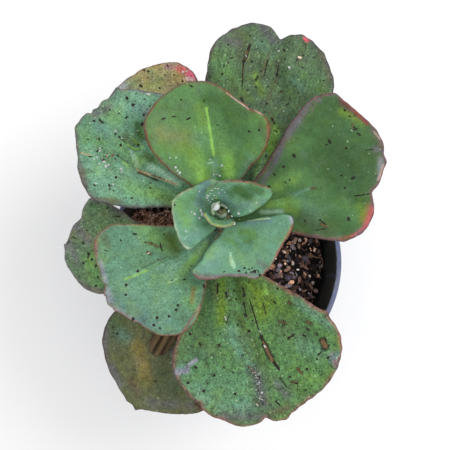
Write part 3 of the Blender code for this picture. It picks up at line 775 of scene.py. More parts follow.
LEAVES = (
    Leaf("leaf_01", 243, 126, 106, 16, (13, 26, 38, 24), (17, 33, 34, 20), 8, -16, 10,
         "olive_leaf", 0.25, 0.4, 1.2, ((-100, -6, 22), (-33, 1.7, 10), (-11, -2.4, 3), (-1, -3, 2),
         (11, 2.8, 13)), (1.2, 4, 40)),
    Leaf("leaf_02", 113, 131, 101, 15, (12, 26, 35, 30), (12, 26, 24, 19), 12, -4, 12,
         "olive_leaf", 0.6, 0.5, 1.3, ((-41, -6, 8), (-11, 1.2, 22), (16, 1.5, 6), (38, -2, 10)),
         (1, 4, 0)),
    Leaf("leaf_03", 183, 136, 86, 15, (12, 25, 29, 23), (6, 11.5, 24.5, 14.5), 12, -18, 12,
         "green_leaf", 0.8, 0.5, 1.3, ((-61, -5, 4), (-34, 7.6, 8), (-4, 2, 4), (16, -3.5, 8),
         (77, -2.5, 40)), (1.2, 5, 80)),
    Leaf("leaf_04", 72, 142, 115, 16, (13, 26, 37, 31), (12, 25, 34, 27), 16, -4, 14,
         "green_leaf", 0.95, 0.8, 1.4, ((-71, -4, 4), (-49, 1.7, 6), (-33, -2.2, 5), (-6, 2.7, 4),
         (4, 17.3, 8), (29, -1.6, 5), (48, 1.5, 6), (92, -7.8, 10)), (1.2, 5, 120)),
    Leaf("leaf_05", 283, 148, 106, 17, (18, 43, 46, 34), (22, 41, 39, 25), 18, -12, 12,
         "green_leaf", 0.8, 0.45, 1.5, ((-120, 2.7, 40), (-61, 5.7, 3), (-20, -4.7, 10), (0, 8.8, 4),
         (15, -3.2, 5), (34, 9.4, 22), (95, -3.4, 22), (106, -5, 3)), (1.4, 6, 20)),
    Leaf("leaf_06", 139, 153, 93, 15, (10, 29, 31, 20), (12, 27, 33, 23), 20, -4, 14,
         "blue_green_leaf", 0.65, 0.3, 1.2, ((-60, 5, 13), (-32, -6.5, 3), (-21, 3.8, 3),
         (-8, 9.4, 10), (0, 5.4, 2), (19, -7.5, 10), (48, 4.6, 10), (86, -5.5, 13)), (1.2, 5, 200)),
    Leaf("leaf_07", 27, 158, 92, 16, (13, 26, 38, 29), (17, 35, 36, 20), 22, 0, 16, "green_leaf",
         0.25, 0.35, 0.55, ((-98, -3, 8), (-73, 2.4, 6), (-50, 17.4, 13), (-18, -6.4, 5),
         (10, -4.5, 40), (54, -6.4, 8), (86, 6.5, 13), (137, -2.2, 22)), (1.2, 5, 300)),
    Leaf("leaf_08", 213, 163, 70, 13, (18, 34, 37, 28), (11, 22, 30, 25), 26, 0, 16,
         "blue_green_leaf", 0.3, 0.3, 0.8, ((-84, -4.5, 5), (-31, 10.5, 17), (-12, 6, 5), (-3, -5, 2),
         (8, -8.7, 8), (18, -4.5, 3), (49, 9.8, 17), (90, -3.3, 10)), (1, 4, 60)),
    Leaf("leaf_09", 100, 168, 72, 13, (13, 27, 32, 25), (15, 32, 29, 17), 32, 8, 22, "green_leaf",
         0.12, 0.3, 0.65, ((-133, 5, 17), (-88, -3.9, 8), (-69, 5.2, 4), (-57, 12.2, 22),
         (-26, 2.4, 13), (14, -1.8, 10), (59, 3.5, 13), (148, 2.2, 8)), (0.8, 5, 0)),
    Leaf("leaf_10", 306, 172, 38, 11, (10.7, 26, 27.3, 13), (15, 30, 17, 7.5), 36, 20, 20,
         "blue_green_leaf", 0.05, 0.15, 0.5, ((-113, 5.9, 8), (-103, -5, 3), (-78, 8.3, 10),
         (-33, -3, 3), (16, -7.6, 13), (67, 7.5, 13), (107, 4.7, 8)), (0.5, 4, 0)),
    Leaf("leaf_11", 181, 174, 27.5, 9, (10.3, 15, 18, 11.5), (21.7, 16.7, 13, 11.2), 44, 30, 24,
         "blue_green_leaf", 0.04, 0.15, 0.6, ((-105, 5.7, 4), (-83, -4.7, 8), (-60, 3.9, 8),
         (-34, -6.2, 8), (1, 7.2, 10)), (0.4, 3, 0)),
    Leaf("leaf_12", 57, 179, 27.5, 8, (10, 14.2, 13.6, 12), (10.7, 15.2, 18.3, 17.5), 62.5,
         48.5, 15.5, "blue_green_leaf", 0.04, 0.1, 0.6, ((-60, -3.2, 6), (-16, 2.7, 6), (5, 3.5, 22),
         (57, -8, 6), (81, 2.2, 6)), (0, 3, 0), 38, (3.0, 2.4)),
    Leaf("leaf_13", 252, 179.5, 15, 6, (4.5, 7.5, 8.5, 6), (4.5, 7.5, 8.5, 6), 76, 66, 40,
         "blue_green_leaf", 0.0, 0.1, 0.6, (), (0, 3, 0), 0, (3.0, 1.8)),
    Leaf("leaf_14", 155, 183.2, 9.5, 3.4, (2.4, 3.8, 4.2, 3.2), (2.4, 3.8, 4.2, 3.2), 80, 76, 40,
         "blue_green_leaf", 0.0, 0.1, 0.6, (), (0, 3, 0), 0, (2.4, 1.4)),
)

# Marks on each leaf, laid on in this order. "all" gives the ground colour and how bright it is;
# that brightness is partly painted light, which lightens the lowest leaves, leaf_01 to leaf_03,
# against the shade that the leaves above lay on them. A row with a colour is a soft stroke from
# one place to another, in millimetres along the leaf and to its left: x, y, x, y, half-width,
# strength. A "patch" is such a stroke with a firm edge.
# "spot", "cork" and "chalk" rows are sharp strokes of dark rot, brown cork and dried salts, and
# "dots" are round spots: x, y, half-width of each. "flecks" strew spots and chalk about a
# stroke. "specks" makes the specks denser, "wet" wets the skin, and "lift" raises or sinks it by
# the last number. "margin" rows give the colour, width and strength of the line along the
# margin, and where there is more, it keeps near that stroke.
LEAF_MARKS = {
    "leaf_01": """
        all olive 1.29, sage 64 -36 68 -26 5 .8, blue_grey 68 -28 69 -22 3.4 .4
        grey_purple 69 -37 84 -31 2.2 .85, grey_purple 87 -26 96 -16 2.2 .8
        ochre 70 -17 83 -3 5 .65, sand 78 -11 82 -5 3.4 .5, dark_olive 77 2 86 17 7.8 .75
        bronze 91 -11 95 -4 2.8 .7, grey_purple 97 5 88 27 2.8 .6, grey_purple 63 3 75 11 1.9 .7
        maroon 84.7 29.5 86.1 34.2 1.4 .8, lift 30 0 100 -2 4 -.8, margin purple_brown 0.68 .85
        specks 62 -36 67 -24 5.6 .5, chalk 77.9 -28.2 76.8 -27.5 .22 .9
        spot 86.8 -3.2 82.5 6 .22 .6
        dots 68.5 -30.2 .6 66 -34 .4 84 2.5 .4
        """,
    "leaf_02": """
        all sand 1.54, sage 95 19 94 12 3.9 .6, lilac 94 26 96 19 2.8 .75
        dull_rose 94 25 91.6 22.2 1.4 .6, sage 97 1 92 -2 2.8 .5, yellow_green 90 6 89 0 3.4 .3
        bronze 95 6 93 3 1.7 .4, plum 97.1 -8.5 93 -14.5 1.5 .8, rose 92 -16 85 -20 2.2 .9
        pink 86.9 -19.5 83.8 -20.8 1.3 .9, pale_pink 85.5 -17.5 82.4 -20.8 1.5 .8
        tan 88 -14 84 -16 1.7 .6, specks 95 15 91 -12 9 .7, margin maroon 0.56 .9
        patch rose 92 -15 89 -19 1.7 .6, patch pink 86.5 -19.2 84.1 -20.2 1.5 .6
        patch pale_pink 85.1 -16.8 83.1 -19.8 .84 .8, spot 92 9.8 91 9 .62 .9
        spot 97.5 -9.2 96.4 -9.5 .56 .7, spot 94.7 4.2 94.7 3 .45 .7, chalk 93.7 7.8 93.4 7.2 .34 .8
        chalk 93.4 1 93 .5 .34 .7
        dots 99.5 4 .6 98.1 2.2 .6 91 20 .5 92.3 22.5 .6 92.3 -6 .4 90.3 -10.8 .4 86.5 -.2 .5
        dots 85.5 5 .6 85.1 -13.8 .5
        """,
    "leaf_03": """
        all sage 1.52, deep 64 -22 52 -17 3.9 .8, grey_purple 78 -10 71 -2 3.9 .85
        grey_purple 83 -2 77 11 2.8 .7, sage 73 -11 69 -6 2.8 .6, mid 71 11 65 24 4.5 .7
        olive 60 -17 52 -13 2.2 .5, bronze 74 25 61.4 29 1.1 .7, specks 79 -5 67 22 11.2 .8
        lift 30 0 80 0 3.5 -.8, margin purple_brown 0.68 .8, margin grey_purple 1.98 .5
        chalk 63.2 -15.5 63.2 -15 .39 .8, spot 53.6 -14.2 51.8 -13.8 .56 .8
        spot 79.8 -3.8 78 -2.5 .5 .7
        dots 74 .2 .6 70.8 6.8 .7 69 9.8 .6 66.7 13.8 .6 65.5 20.2 .5 74 11.8 .5 75.4 23.8 .4
        dots 66.4 25.2 .6 57.9 -19.2 .5
        """,
    # On leaf_04 the lit and pale_bloom strokes near y -10, from x 30 to 58, are painted light, laid
    # where the leaves above shade it.
    "leaf_04": """
        all sage 0.97, mid 84 30 78 20 5.6 .65, fresh 82 23 77 28 2.8 .35, mid 86 35 78 30 3.4 .5
        olive 102 26 89 17 3.9 .55, grey_purple 96 31 97 24 2.5 .6, grey_purple 110 14 105 6 2.5 .8
        blue_green 101 12 95 5 3.4 .5, sage 106 -4 105 -12 3.4 .65, deep 88 -6 77 -14 5 .5
        blue_green 88 -12 84 -18 2.8 .55, mid 92 -18 87 -27 4.5 .6, sage 75 -5 63 -4 2.8 .5
        yellow_green 84 10 75 3 2 .7, shaded_yellow 76 21 70 14 2.5 .6
        yellow_green 70 8 73 13 1.7 .5, bronze 96.2 6.2 84.1 6.5 1.2 .5
        bronze 94.2 -.2 83.3 -2.5 1.3 .5, bronze 79.4 -1.5 70.1 -1 1.1 .4
        sage 76 -14 62 -12 2.2 .85, yellow_green 58 -11 46 -12 1.7 .9
        shaded_yellow 64 -7 59 -10 1.7 .6, lit 58 -11 40 -9 2.8 .75, lit 49 -10 30 -9 2.2 .85
        pale_bloom 44 -10 30 -9.2 1.3 .7, specks 91 37 75 10 9 .7, specks 97 14 65 -14 7.8 1.1
        lift 106 0 84 1 4 -1.6, lift 104 22 78 18 1.6 -.7, margin purple_brown 0.68 .85
        margin grey_purple 1.61 .4, wet 96 -4 98 -9 3 .9
        patch grey_purple 105.9 -22.2 100.5 -27.5 .9 .6, patch bronze 109 -19 93.1 -31 1.2 .4
        patch rose 111 -11.2 111 -12.2 1.1 .9, patch pink 111.7 -10 110.6 -11.2 .73 .9
        spot 98.5 17.8 92.7 17.5 .62 1, spot 92.7 17.5 88.4 18 .73 1, cork 95 17.8 89.9 17.8 .45 .8
        chalk 92.3 18.2 91.5 17.5 .34 1, spot 88.4 18 75.5 14.8 .39 .95
        cork 86 17.2 79.4 15.5 .31 .9, spot 68.9 13.2 67.4 11.5 .56 .9, spot 102 -1 101.2 -1.8 .5 1
        chalk 100.1 1.8 100.5 1.2 .34 .8, spot 83.3 8 81 8.5 .5 .9, spot 93.8 5.5 84.5 4.8 .34 .8
        spot 92.3 -1 86.8 -2 .39 .8, spot 72.8 -12 74 -12.8 .45 .9
        spot 78.3 -12.5 75.9 -12.8 .28 .8, spot 91.5 -28 91.9 -28.5 .45 .8
        spot 63.5 -7 61.5 -8.8 .73 .7, spot 57.6 -10.2 57.6 -11.8 .39 .9
        spot 108.6 -12 104 -12.8 .28 .7, chalk 93.1 -7 92.7 -7.8 .39 1
        dots 88 25 .5 84.9 26.2 .4 82.5 27.8 .4 77.9 27.5 .6 74.4 33.5 .4 94.2 29.2 .5 103.2 19.2 .4
        dots 102.4 11.8 .4 89.9 13.8 .5 86.8 7.2 .5 77.5 7.2 .5 87.6 -1.8 .5 96.9 -3.5 .4 79.8 1 .4
        dots 70.5 -1.5 .5 74.4 11 .4 79.4 -6.8 .4 81.4 -16.2 .4 102.8 -18.5 .4 95.4 -14.5 .4
        dots 65.8 -1.5 .4 74 28 .4
        """,
    "leaf_05": """
        all mid 0.96, deep 32 -19 54 -26 7.3 .55, sage 55 -34 60 -20 5 .5, deep 23 -15 31 -16 2.5 .8
        olive 23 -10.8 33 -12.5 1 .8, yellow_green 24 -7 45 -12 3.1 .95
        shaded_yellow 25 2 36 1 1.9 .75, shaded_yellow 30 4 46 4 2.2 .7
        yellow_green 29 10 46 11 5 .95, yellow_green 37 17 48 25 5 .75
        lit 27.6 16.2 34.8 16.2 1.3 .8, fresh 28 20 36 22 2.5 .8, shaded_yellow 45 -2 71 5 3.1 .85
        blue_green 51 -8 71 -3 4.5 .95, sage 54 -5 66 -1 2.2 .6, blue_green 71 -32 87 -11 11.2 .85
        glaucous 83 -30 93 -12 4.5 .55, mid 68 -30 85 -15 7.8 .5, blue_green 43 31 60 46 2.8 .8
        deep 47 26 63 35 5.6 .5, sage 56 21 65 30 4.5 .6, mid 69 26 78 39 5.6 .5
        blue_green 67 27 72 36 4.5 .5, fresh 83 26 90 34 4.5 .6, sage 79 6 90 16 5 .6
        grey_purple 84 10 92 14 2.2 .6, grey_purple 95 -22 101 -2 3.4 .75
        blue_grey 93 -15 93 0 2.8 .6, grey_purple 75 0 93 1 3.4 .8, bronze 99 4 98 13 2.2 .7
        blue_green 63 -41 62 -32 1.8 .95, sage 61 -40.8 61 -29.5 1 .9, lilac 75 43 81 44 1.8 .75
        specks 34 -5 74 26 16.8 .5, specks 71 1 94 15 9 .6, lift 104 -6 80 -4 5 -2.2
        lift 20 -2 50 -2 4 -.9, lift 46 -8 74 4 2.4 .7, lift 76 46 84 34 4 -1.2
        margin maroon 0.62 .85, margin dull_rose 1.36 .5, flecks 28 -4 36 -4 1.3 .6
        flecks 36 -4 48 -9 1 .55, flecks 71 -3 80 2 2.5 .55, flecks 81 0 94 0 2 .6
        patch deep 52.4 -3.2 72.9 4.5 .39 .7, patch blue_green 49.9 -9.5 52 -5.2 1.5 .6
        patch lilac 65.3 -41.8 65.7 -36.2 1.5 .9, patch lilac 63.9 -35.8 61.4 -30 .9 .9
        patch blue_grey 78.2 41.5 74.6 46.2 1.1 .8, patch plum 77.5 43.2 80 43.5 .62 .8
        patch deep 68.5 15.5 76.4 17.5 .28 .7, patch glaucous 76.4 -31.5 81.1 -34.2 .34 .9
        spot 37 6.2 52 7 .34 1, spot 52 7 59.2 7.5 .34 .8, spot 57.4 7.5 63.5 8.8 .95 1
        spot 62.1 8.5 69.6 10.2 1.5 1, spot 69.6 10.2 75.7 12.8 .84 1, cork 60.3 8 63.9 8.8 .56 1
        cork 63.9 8.8 71.1 10.5 .84 1, chalk 62.1 7.8 63.5 8.8 .39 .9, chalk 54.2 7.2 56.3 9 .28 .7
        spot 71.1 10.5 76.4 13 .56 .85, spot 81.5 12.5 87.6 15 .34 .85, spot 29.8 -6 32.7 -6 .56 .9
        chalk 42.7 -9.5 44.5 -9.2 .39 .8, spot 40.2 13 46.3 13 .28 .9
        spot 24.8 -9.8 29.8 -11.2 .5 .95, spot 29.8 4 34.1 4 .45 .8, spot 37.3 2.8 44.9 2 .39 .8
        spot 67 40 70 40 2.1 .9, cork 67.1 39.8 69.6 40.5 1.3 1, cork 42.7 26.5 43.4 28 1.2 .7
        spot 42.7 27 43.4 27.5 .5 .9, cork 52 19.5 53.1 22 1.5 .6, spot 51 19.2 52 19.5 .39 .9
        spot 51.3 21.5 54.2 21.8 .39 .9, spot 40.9 19 41.6 19.5 .62 .95
        spot 44.1 1.5 44.9 2 .62 .95, spot 58.9 33 59.6 34 .56 .9, cork 55 34 57 36 1.7 .55
        cork 78.6 23.2 81.1 24.8 1.1 .8, spot 78.6 23.8 80.7 24.5 .56 .9
        spot 85.4 18.2 86.8 21 .5 .9, cork 85.1 18 86.1 20.5 .73 .7, spot 93.3 7.5 95.8 8.8 .56 .9
        spot 60.3 25.2 61.7 21.5 .45 .9, spot 61.4 30 62.4 31.5 .45 .9
        spot 62.4 37.2 63.2 38 .45 .9, spot 73.2 35.5 72.5 37.5 .45 .9
        spot 53.1 -26.5 54.2 -26.2 .56 .9, spot 65 -31.5 65.7 -31 .62 .9
        spot 72.5 -12.2 73.2 -11.5 .5 .8, cork 71.4 -2.5 76.1 -.8 .9 .6
        cork 90.1 -4 94 -1.5 1.1 .55, chalk 93.3 -3 94 -2.8 .45 .9
        dots 30.1 -1.2 .5 34.8 -1.2 .5 30.1 4 .5 34.1 3.5 .6 37.7 2.5 .5 36.6 9.2 .4 48.4 -3.5 .5
        dots 53.1 1.8 .6 47.4 -30.5 .7 56.7 -16 .7 51 -14.2 .4 50.2 -20.8 .4 34.8 22.8 .6 40.6 25 .4
        dots 59.2 20.5 .4 61.4 22.2 .6 60.3 24.8 .5 54.5 28.5 .4 57.1 42 .4 75.4 34.5 .4 75.7 40.5 .6
        dots 80 33 .4 79.7 28 .6 82.2 18 .6 76.4 13 .6 78.6 -29.8 .6 72.5 -37.2 .6 84.3 -13.5 .6
        dots 71.8 -22.2 .5 54.9 -3.8 .4 65 -4.5 .4 91.5 24.8 .5
        """,
    # On leaf_06 the deep and dark strokes from x 60 to 69, y -12 to 0, are a painted shadow cast by
    # the leaf above it, and the thin lit patches beside them are a painted crescent highlight.
    "leaf_06": """
        all blue_green 1.26, glaucous 75 -25 81 -14 6.2 .65, blue_grey 76 -18 68 -20 3.4 .5
        grey_purple 67 -21 64 -16 2.2 .6, blue_grey 83 2 76 4 3.9 .5, mid 82 13 75 8 3.9 .6
        fresh 82 -6 76 -6 3.9 .45, glaucous 59 26 52 12 7.8 .5, glaucous 68 27 67 23 3.4 .4
        fresh 48 17 31 8 4.5 .65, fresh 64 4 54 2 3.9 .6, yellow_green 32 9 26 8 2.5 .5
        deep 67 -12 61 -8 2.8 .95, shaded_yellow 53 -2 47 -3 2.2 .7, deep 54 -4 49 -3 1.9 .5
        grey_purple 88 0 84 -9 2.2 .75, grey_purple 76 25 66 33 1.9 .7
        bronze 72.4 26.5 65.8 32.2 1.5 .5, bronze 56.4 33.2 47.2 26.2 1.1 .7
        lift 54 5.5 26 0 1.8 -.9, lift 54 3 28 -2.4 2.0 .6, lift 66 8 54 4 1.4 -.5
        lift 64 -14 57 -2 3.5 -1.4, margin maroon 0.56 .75, margin grey_purple 1.49 .45
        wet 66 12 74 18 5 .7, specks 91 -8 65 -20 9 .4, specks 62 25 47 22 6.7 .4
        flecks 74 13 63 16 3.4 .5, patch pale_bloom 60.1 1.5 52.9 5.2 1.2 .85
        patch dark 67.7 -11.5 63.3 -8 1.1 .6, patch sage 68 -2 62 -3 1.9 .7
        patch yellow_green 62.7 -3.8 59.5 -4.2 1 .6, patch dark 69.3 0 60.1 0 .45 .75
        patch lit 63.9 0 59.8 -.5 .39 .8, patch lit 59.8 -.5 57 -3 .39 .9
        patch lit 57.3 -3 57.3 -5.5 .39 .7, patch deep 63.6 8.2 57.3 7.5 .28 .85
        patch lit 59.5 9 56.4 8.8 .62 .6, patch pale_bloom 47 1 41 0 1.7 .9
        patch pale_bloom 41 0 31 -2 1.8 .95, patch tan 79.3 20.2 74.9 17.8 .45 .7
        patch tan 51.3 7 30.5 -1 .5 .95, patch olive 50.4 29.2 48.5 28.2 .95 .8
        cork 50.1 7.8 44.7 5.8 .62 .8, spot 44.7 6 39 4 .39 .85, spot 43.5 3.8 36.5 1 .25 .7
        spot 63.9 10.5 63.6 10.5 .39 1, spot 74.9 18.8 73.7 18 .39 .9, spot 57 23.5 56.4 23.8 .5 1
        spot 55.4 25 55.1 24.8 .45 .9, spot 53.5 24.2 53.2 24 .45 .9
        spot 74 -10.2 73.7 -11.5 .45 .9, spot 86.3 2.5 85.6 2.2 .5 .9, spot 83.8 -.2 81.5 0 .73 .72
        spot 83.1 -7.8 82.8 -7.8 .45 .9, spot 63 29 62.3 28.8 .45 .9, spot 46 22.8 45.7 22.8 .45 .8
        spot 57.9 -2.2 56.7 -2.5 .28 .7, chalk 73.7 -27.8 72.7 -28.2 .45 .9
        dots 75.6 -18.2 .7 80.3 -18.8 .7 77.5 8 .5 72.7 -25 .4 78.1 -23.8 .4 78.4 -9.8 .4 67.7 -18 .6
        dots 65.2 -13.5 .7 43.5 20.8 .5 57 17.8 .6 81.9 12 .4 66.4 2.8 .6 73.7 13.8 .5 68.3 15.2 .6
        dots 39.7 10 .4 31.8 9 .4 69.9 0 .5 72.4 0 .5 68.3 -23.8 .4 59.5 -3.5 .5
        """,
    "leaf_07": """
        all deep 1.09, sage 60 35 36 16 3.9 .6, grey_purple 65 35 50 26 2.5 .85
        grey_purple 47 24 39 18 1.7 .85, grey_purple 71.6 37.2 72.9 35 1.4 .7
        grey_purple 33.3 13.5 27.4 9.2 1.4 .6, mid 48 19 57 18 5 .6, fresh 33 5 44 4 4.5 .85
        lit 25 -3 37 -6 2.2 .5, mid 46 4 51 -11 5.6 .5, dark 69 7 76 -7 10.1 .6
        blue_green 40 -8 46 -18 5 .45, deep 81 -5 77 -17 3.4 .4, fresh 29 -3 38 -9 3.1 .9
        yellow_green 32 -8 36 -13 2.2 .6, pale_bloom 19.6 -4.5 29.3 -9 1.3 .75
        mid 58 -20 63 -29 5 .6, yellow_green 67 -25 66 -32 2.2 .6, dark_olive 38 -18 46 -28 3.9 .5
        yellow_green 81 24 88 14 2.2 .75, bronze 82.5 27.8 89.7 13.2 1.3 .8
        maroon 82.5 30.2 89.7 13.2 .9 .7, grey_purple 91 8 93 0 1.7 .6, grey_purple 88 -2 91 -4 2 .9
        lilac 88 -8 83 -17 1.7 .75, rose 72.3 -28.2 62.9 -38 1.5 .9
        ochre 71 -26.2 64.5 -32.5 1.3 .55, brick 50.1 -36.5 60.1 -39 .9 .7
        mid 25.9 -1.2 42.4 -2 .67 .7, blue_green 39.2 -4.2 48 -4.5 .67 .75
        sage 47.3 -3.5 52.6 -4.5 1.1 .45, lift 24 0 70 -4 3.5 -1.2, lift 66 -26 56 -20 2.2 -.8
        lift 74 -28 64 -22 3 -1.2, margin maroon 0.62 .85, margin plum 1.24 .35
        patch grey_purple 67.6 36 48.9 25.5 1.3 .85, patch grey_purple 48.9 25.5 38 17 1.1 .85
        patch grey_purple 37.1 16.2 27.1 11 .67 .8, patch deep 26.5 -.2 34 -1.8 .34 .85
        patch deep 34 -1.8 45.8 -2 .28 .7, patch blue_green 35.2 -2 47 -4.5 .28 .6
        patch rose 72.9 -29.2 64.8 -36.5 .67 .8, patch rose 64.8 -36.5 56.1 -38 .56 .6
        patch red_brown 87.2 20.5 90 11.8 .62 .8, patch red_brown 83.2 29.2 87.5 21 .5 .6
        patch pale_pink 91.3 6.8 92.8 2.2 .45 .7, patch pale_pink 88.1 -11 81.3 -17.2 .45 .6
        patch bronze 90.3 0 91.6 -2.5 .78 .6, patch grey_purple 67.3 31.8 70.4 34.5 .31 1
        patch deep 72 17.2 75.4 18.5 .22 .5, patch dark_olive 74.4 32.2 76.6 32.2 .28 .5
        chalk 90.3 -3 90.6 -3 .22 1, spot 83.2 0 87.2 -1.5 .28 .7, spot 80.7 12.8 84.1 12.2 .45 .95
        spot 83.2 10 83.8 8.5 .45 .95, chalk 80.7 13 81.3 12.5 .28 1
        spot 83.2 20.2 83.5 19.8 .5 .95, spot 85.3 19 86.3 19 .39 .9
        cork 82.5 15.8 82.9 13.8 .56 .7, spot 67 -19.2 69.8 -20.5 .34 .95
        spot 69.8 -20.5 74.4 -21.8 .34 .9, spot 68.2 13.8 68.2 12.2 .56 .95
        spot 65.7 12.2 66.3 12 .45 .9, spot 74.1 5.8 75.1 5.5 .5 .8
        spot 48.3 15.5 48.6 14.5 .67 .95, spot 40.5 12.5 41.4 12.5 .5 .9
        spot 37.7 4.8 38.3 4.2 .5 .9, spot 34.6 11.5 34.6 10.5 .5 .9, spot 65.4 -6 66 -6.2 .5 .9
        spot 69.8 -10.2 71 -10.2 .67 .9, cork 48.6 -5 50.5 -5.8 .67 .8
        spot 48.9 -5.2 49.8 -5.2 .39 .9, cork 44.9 -24.8 47 -27.5 .78 .72
        spot 45.8 -23.8 47 -26.2 .34 .9, spot 41.1 -26.8 46.1 -28.2 .28 .9
        spot 58.6 -28.2 58.6 -29.5 .56 .95, spot 38 -19.5 38.3 -19.8 .45 .9
        dots 40.5 4.5 .4 29 6.5 .7 82.9 13.8 .5 82.5 24 .5 45.2 -22.5 .5 64.2 -13 .4
        """,
    # On leaf_08 the shaded_yellow stroke at its base is a painted shadow, and its lit strokes are
    # painted light.
    "leaf_08": """
        all blue_green 1.04, fresh 33 -16 28 -6 5.6 .75, shaded_yellow 26 -8 26 0 3.6 .9
        lit 12 6 23 10 2 .85, pale_bloom 10.2 4.5 18.2 8.2 1.1 .6, fresh 25 10 35 14 2.8 .7
        glaucous 30 5 37 10 3.9 .5, glaucous 61 -16 56 -6 4.5 .4, blue_grey 67 5 61 19 5.6 .7
        blue_grey 62 20 53 30 4.5 .5, glaucous 59 4 48 18 5.6 .5, sage 43 27 43 35 3.4 .4
        mid 32 16 30 24 3.4 .6, fresh 37 25 36 32 2.8 .6, ochre 31 23 35.1 27.8 1.3 .75
        olive 54 -27 55 -22 1.9 .6, sand 57.1 -29.2 62.1 -22.5 1.5 .7
        lilac 63 -16.8 66.1 -6.2 1.3 .8, lilac 68 -2 70 4 2 .8, lilac 69.9 7.8 63.5 23.2 1.5 .8
        blue_grey 63.5 23.2 58.5 31 1.1 .6, glaucous 63 -3.5 48.3 -1.2 .73 .7
        glaucous 48.3 -1.2 33.2 1.8 .73 1, deep 46.7 -2 32.2 .5 .67 .8, sage 41.7 -2 32.2 .5 .56 .8
        deep 32.5 1 27.5 3 .9 .6, plum 56.2 -29.8 48.3 -31.2 .9 .7, plum 59 -28 62.8 -20.2 .67 .7
        sage 34.6 31 25.6 25 .62 .6, lift 26 -1 64 -8 3 -1.3, margin brick 0.37 .75
        specks 58 24 40 30 6.7 .4, specks 36 18 42 25 4.5 .5, specks 38 -14 35 2 5 .5
        patch lit 57.8 -2 44.6 .5 .45 .75, patch mid 44.6 .2 33.4 1.5 .34 1
        patch blue_green 43.1 -.8 32.5 1 .39 .95, patch blue_green 49.8 -2 45 -1 .34 .8
        patch dull_rose 49.1 38.5 33.2 32.2 .45 .7, patch dark_olive 32.2 31.8 25.8 26.2 .45 .7
        patch plum 55.7 -30.8 50.5 -31.5 .5 .6, patch pale_bloom 39.3 12.2 34.1 13.2 .34 .85
        patch sage 41 31.2 42.2 33 .34 .5, spot 58.1 -21 56.6 -19.5 .22 .8
        cork 36.7 -11.2 32.9 -6.5 1.1 .6, cork 40.1 -7.8 38.9 -5.8 .95 .64
        chalk 40.5 -7 39.3 -6.8 .28 .9, spot 31.8 -7.8 32.5 -5.5 .5 .95
        spot 32.9 -4.5 32.5 -4.2 .39 .8, spot 35.5 -11.2 35.3 -10.5 .34 .9
        spot 41.2 -20 40.1 -19 .45 .95, spot 38.2 -13 37.9 -12.2 .39 .8
        spot 37.7 12.2 36.7 12.2 .34 .85, spot 32 15.5 31.3 15.8 .5 .85
        spot 25.4 24.5 25.8 25.5 .56 .95, spot 25.1 12 24.4 12 .28 .85
        spot 26.3 12.5 26.8 13.5 .28 .85
        dots 49.3 -2 .6 61.1 5.2 .6 58.3 1 .6 48.6 27.2 .6 41.7 25 .5 43.8 26.5 .6 57.4 26.8 .6
        dots 54 24.5 .6 55.7 30 .5 48.1 -20.5 .4 27.5 -11.2 .4 64.7 18 .7
        """,
    # On leaf_09 the lit strokes by its base and along its midrib are painted highlights.
    "leaf_09": """
        all mid 1.13, lit 34 8 23 7 3.6 .95, lit 31 -9 22 -9 3.1 .85, fresh 43 12 33 8 6.7 .7
        fresh 46 -2 35 -8 4.5 .5, blue_green 45 5 42 3 2.8 .45, sand 50 24 44 12 5 .5
        yellow_green 41 12 36 10 3.4 .6, deep 63 -6 53 -19 6.2 .85, deep 50 -11 39 -19 6.2 .7
        yellow_green 59 2 51 0 2.5 .55, sage 60 22 60 9 5 .5, sage 70.4 .5 66.3 0 1.5 .8
        mid 34 -16 32 -25 4.5 .5, blue_green 29 -21 20 -16 3.4 .55, sage 27 18 32 24 2.2 .5
        blue_green 36.8 27 25.4 17.8 1 .5, olive 45.8 -29 39.7 -30.2 1.4 .4
        glaucous 29 -2 22 0 1.9 .7, brick 44.4 -33 36.6 -32 .9 .7, olive 57.5 30.2 46.1 32.8 .67 .6
        lit 57.8 -2.2 33.4 -1.8 .67 .9, lift 20 0 60 -2 3 -1.1, margin red_brown 0.46 .85
        margin bronze 1.24 .3, patch lit 57.8 -2.5 46.6 -2.2 .25 .9
        patch lit 46.6 -2.2 33.4 -2 .28 .95, patch glaucous 32.9 -2 31 -1.5 .22 .9
        patch pale_bloom 29.7 2 29.5 -.8 .39 .9, patch pale_pink 63.6 -13.8 54.1 -23.8 .25 .75
        patch pale_pink 54.8 -25 50 -31.2 .25 .7, patch dull_rose 34.9 -31.8 28.8 -26.8 .45 .7
        spot 56.3 21.8 56.6 19.8 .34 .95, spot 53.9 8.8 54.4 7 .45 .95
        spot 56.6 16.2 56.3 14.2 .39 .7, spot 43.1 -22.2 42.7 -23 .45 .95
        spot 70.2 4.2 69.5 2.8 .56 .7, spot 48.5 -6.2 48.3 -6.8 .34 .8, spot 57.8 -5.8 56.6 -7 .5 .5
        spot 51.4 -22.2 50.9 -23.2 .22 .7, chalk 46.1 23.2 45.8 22.8 .28 .6
        chalk 45.8 28.2 45.3 27.8 .28 .6
        dots 42.9 -28 .5 64.1 10 .4 61.4 -1.8 .4
        """,
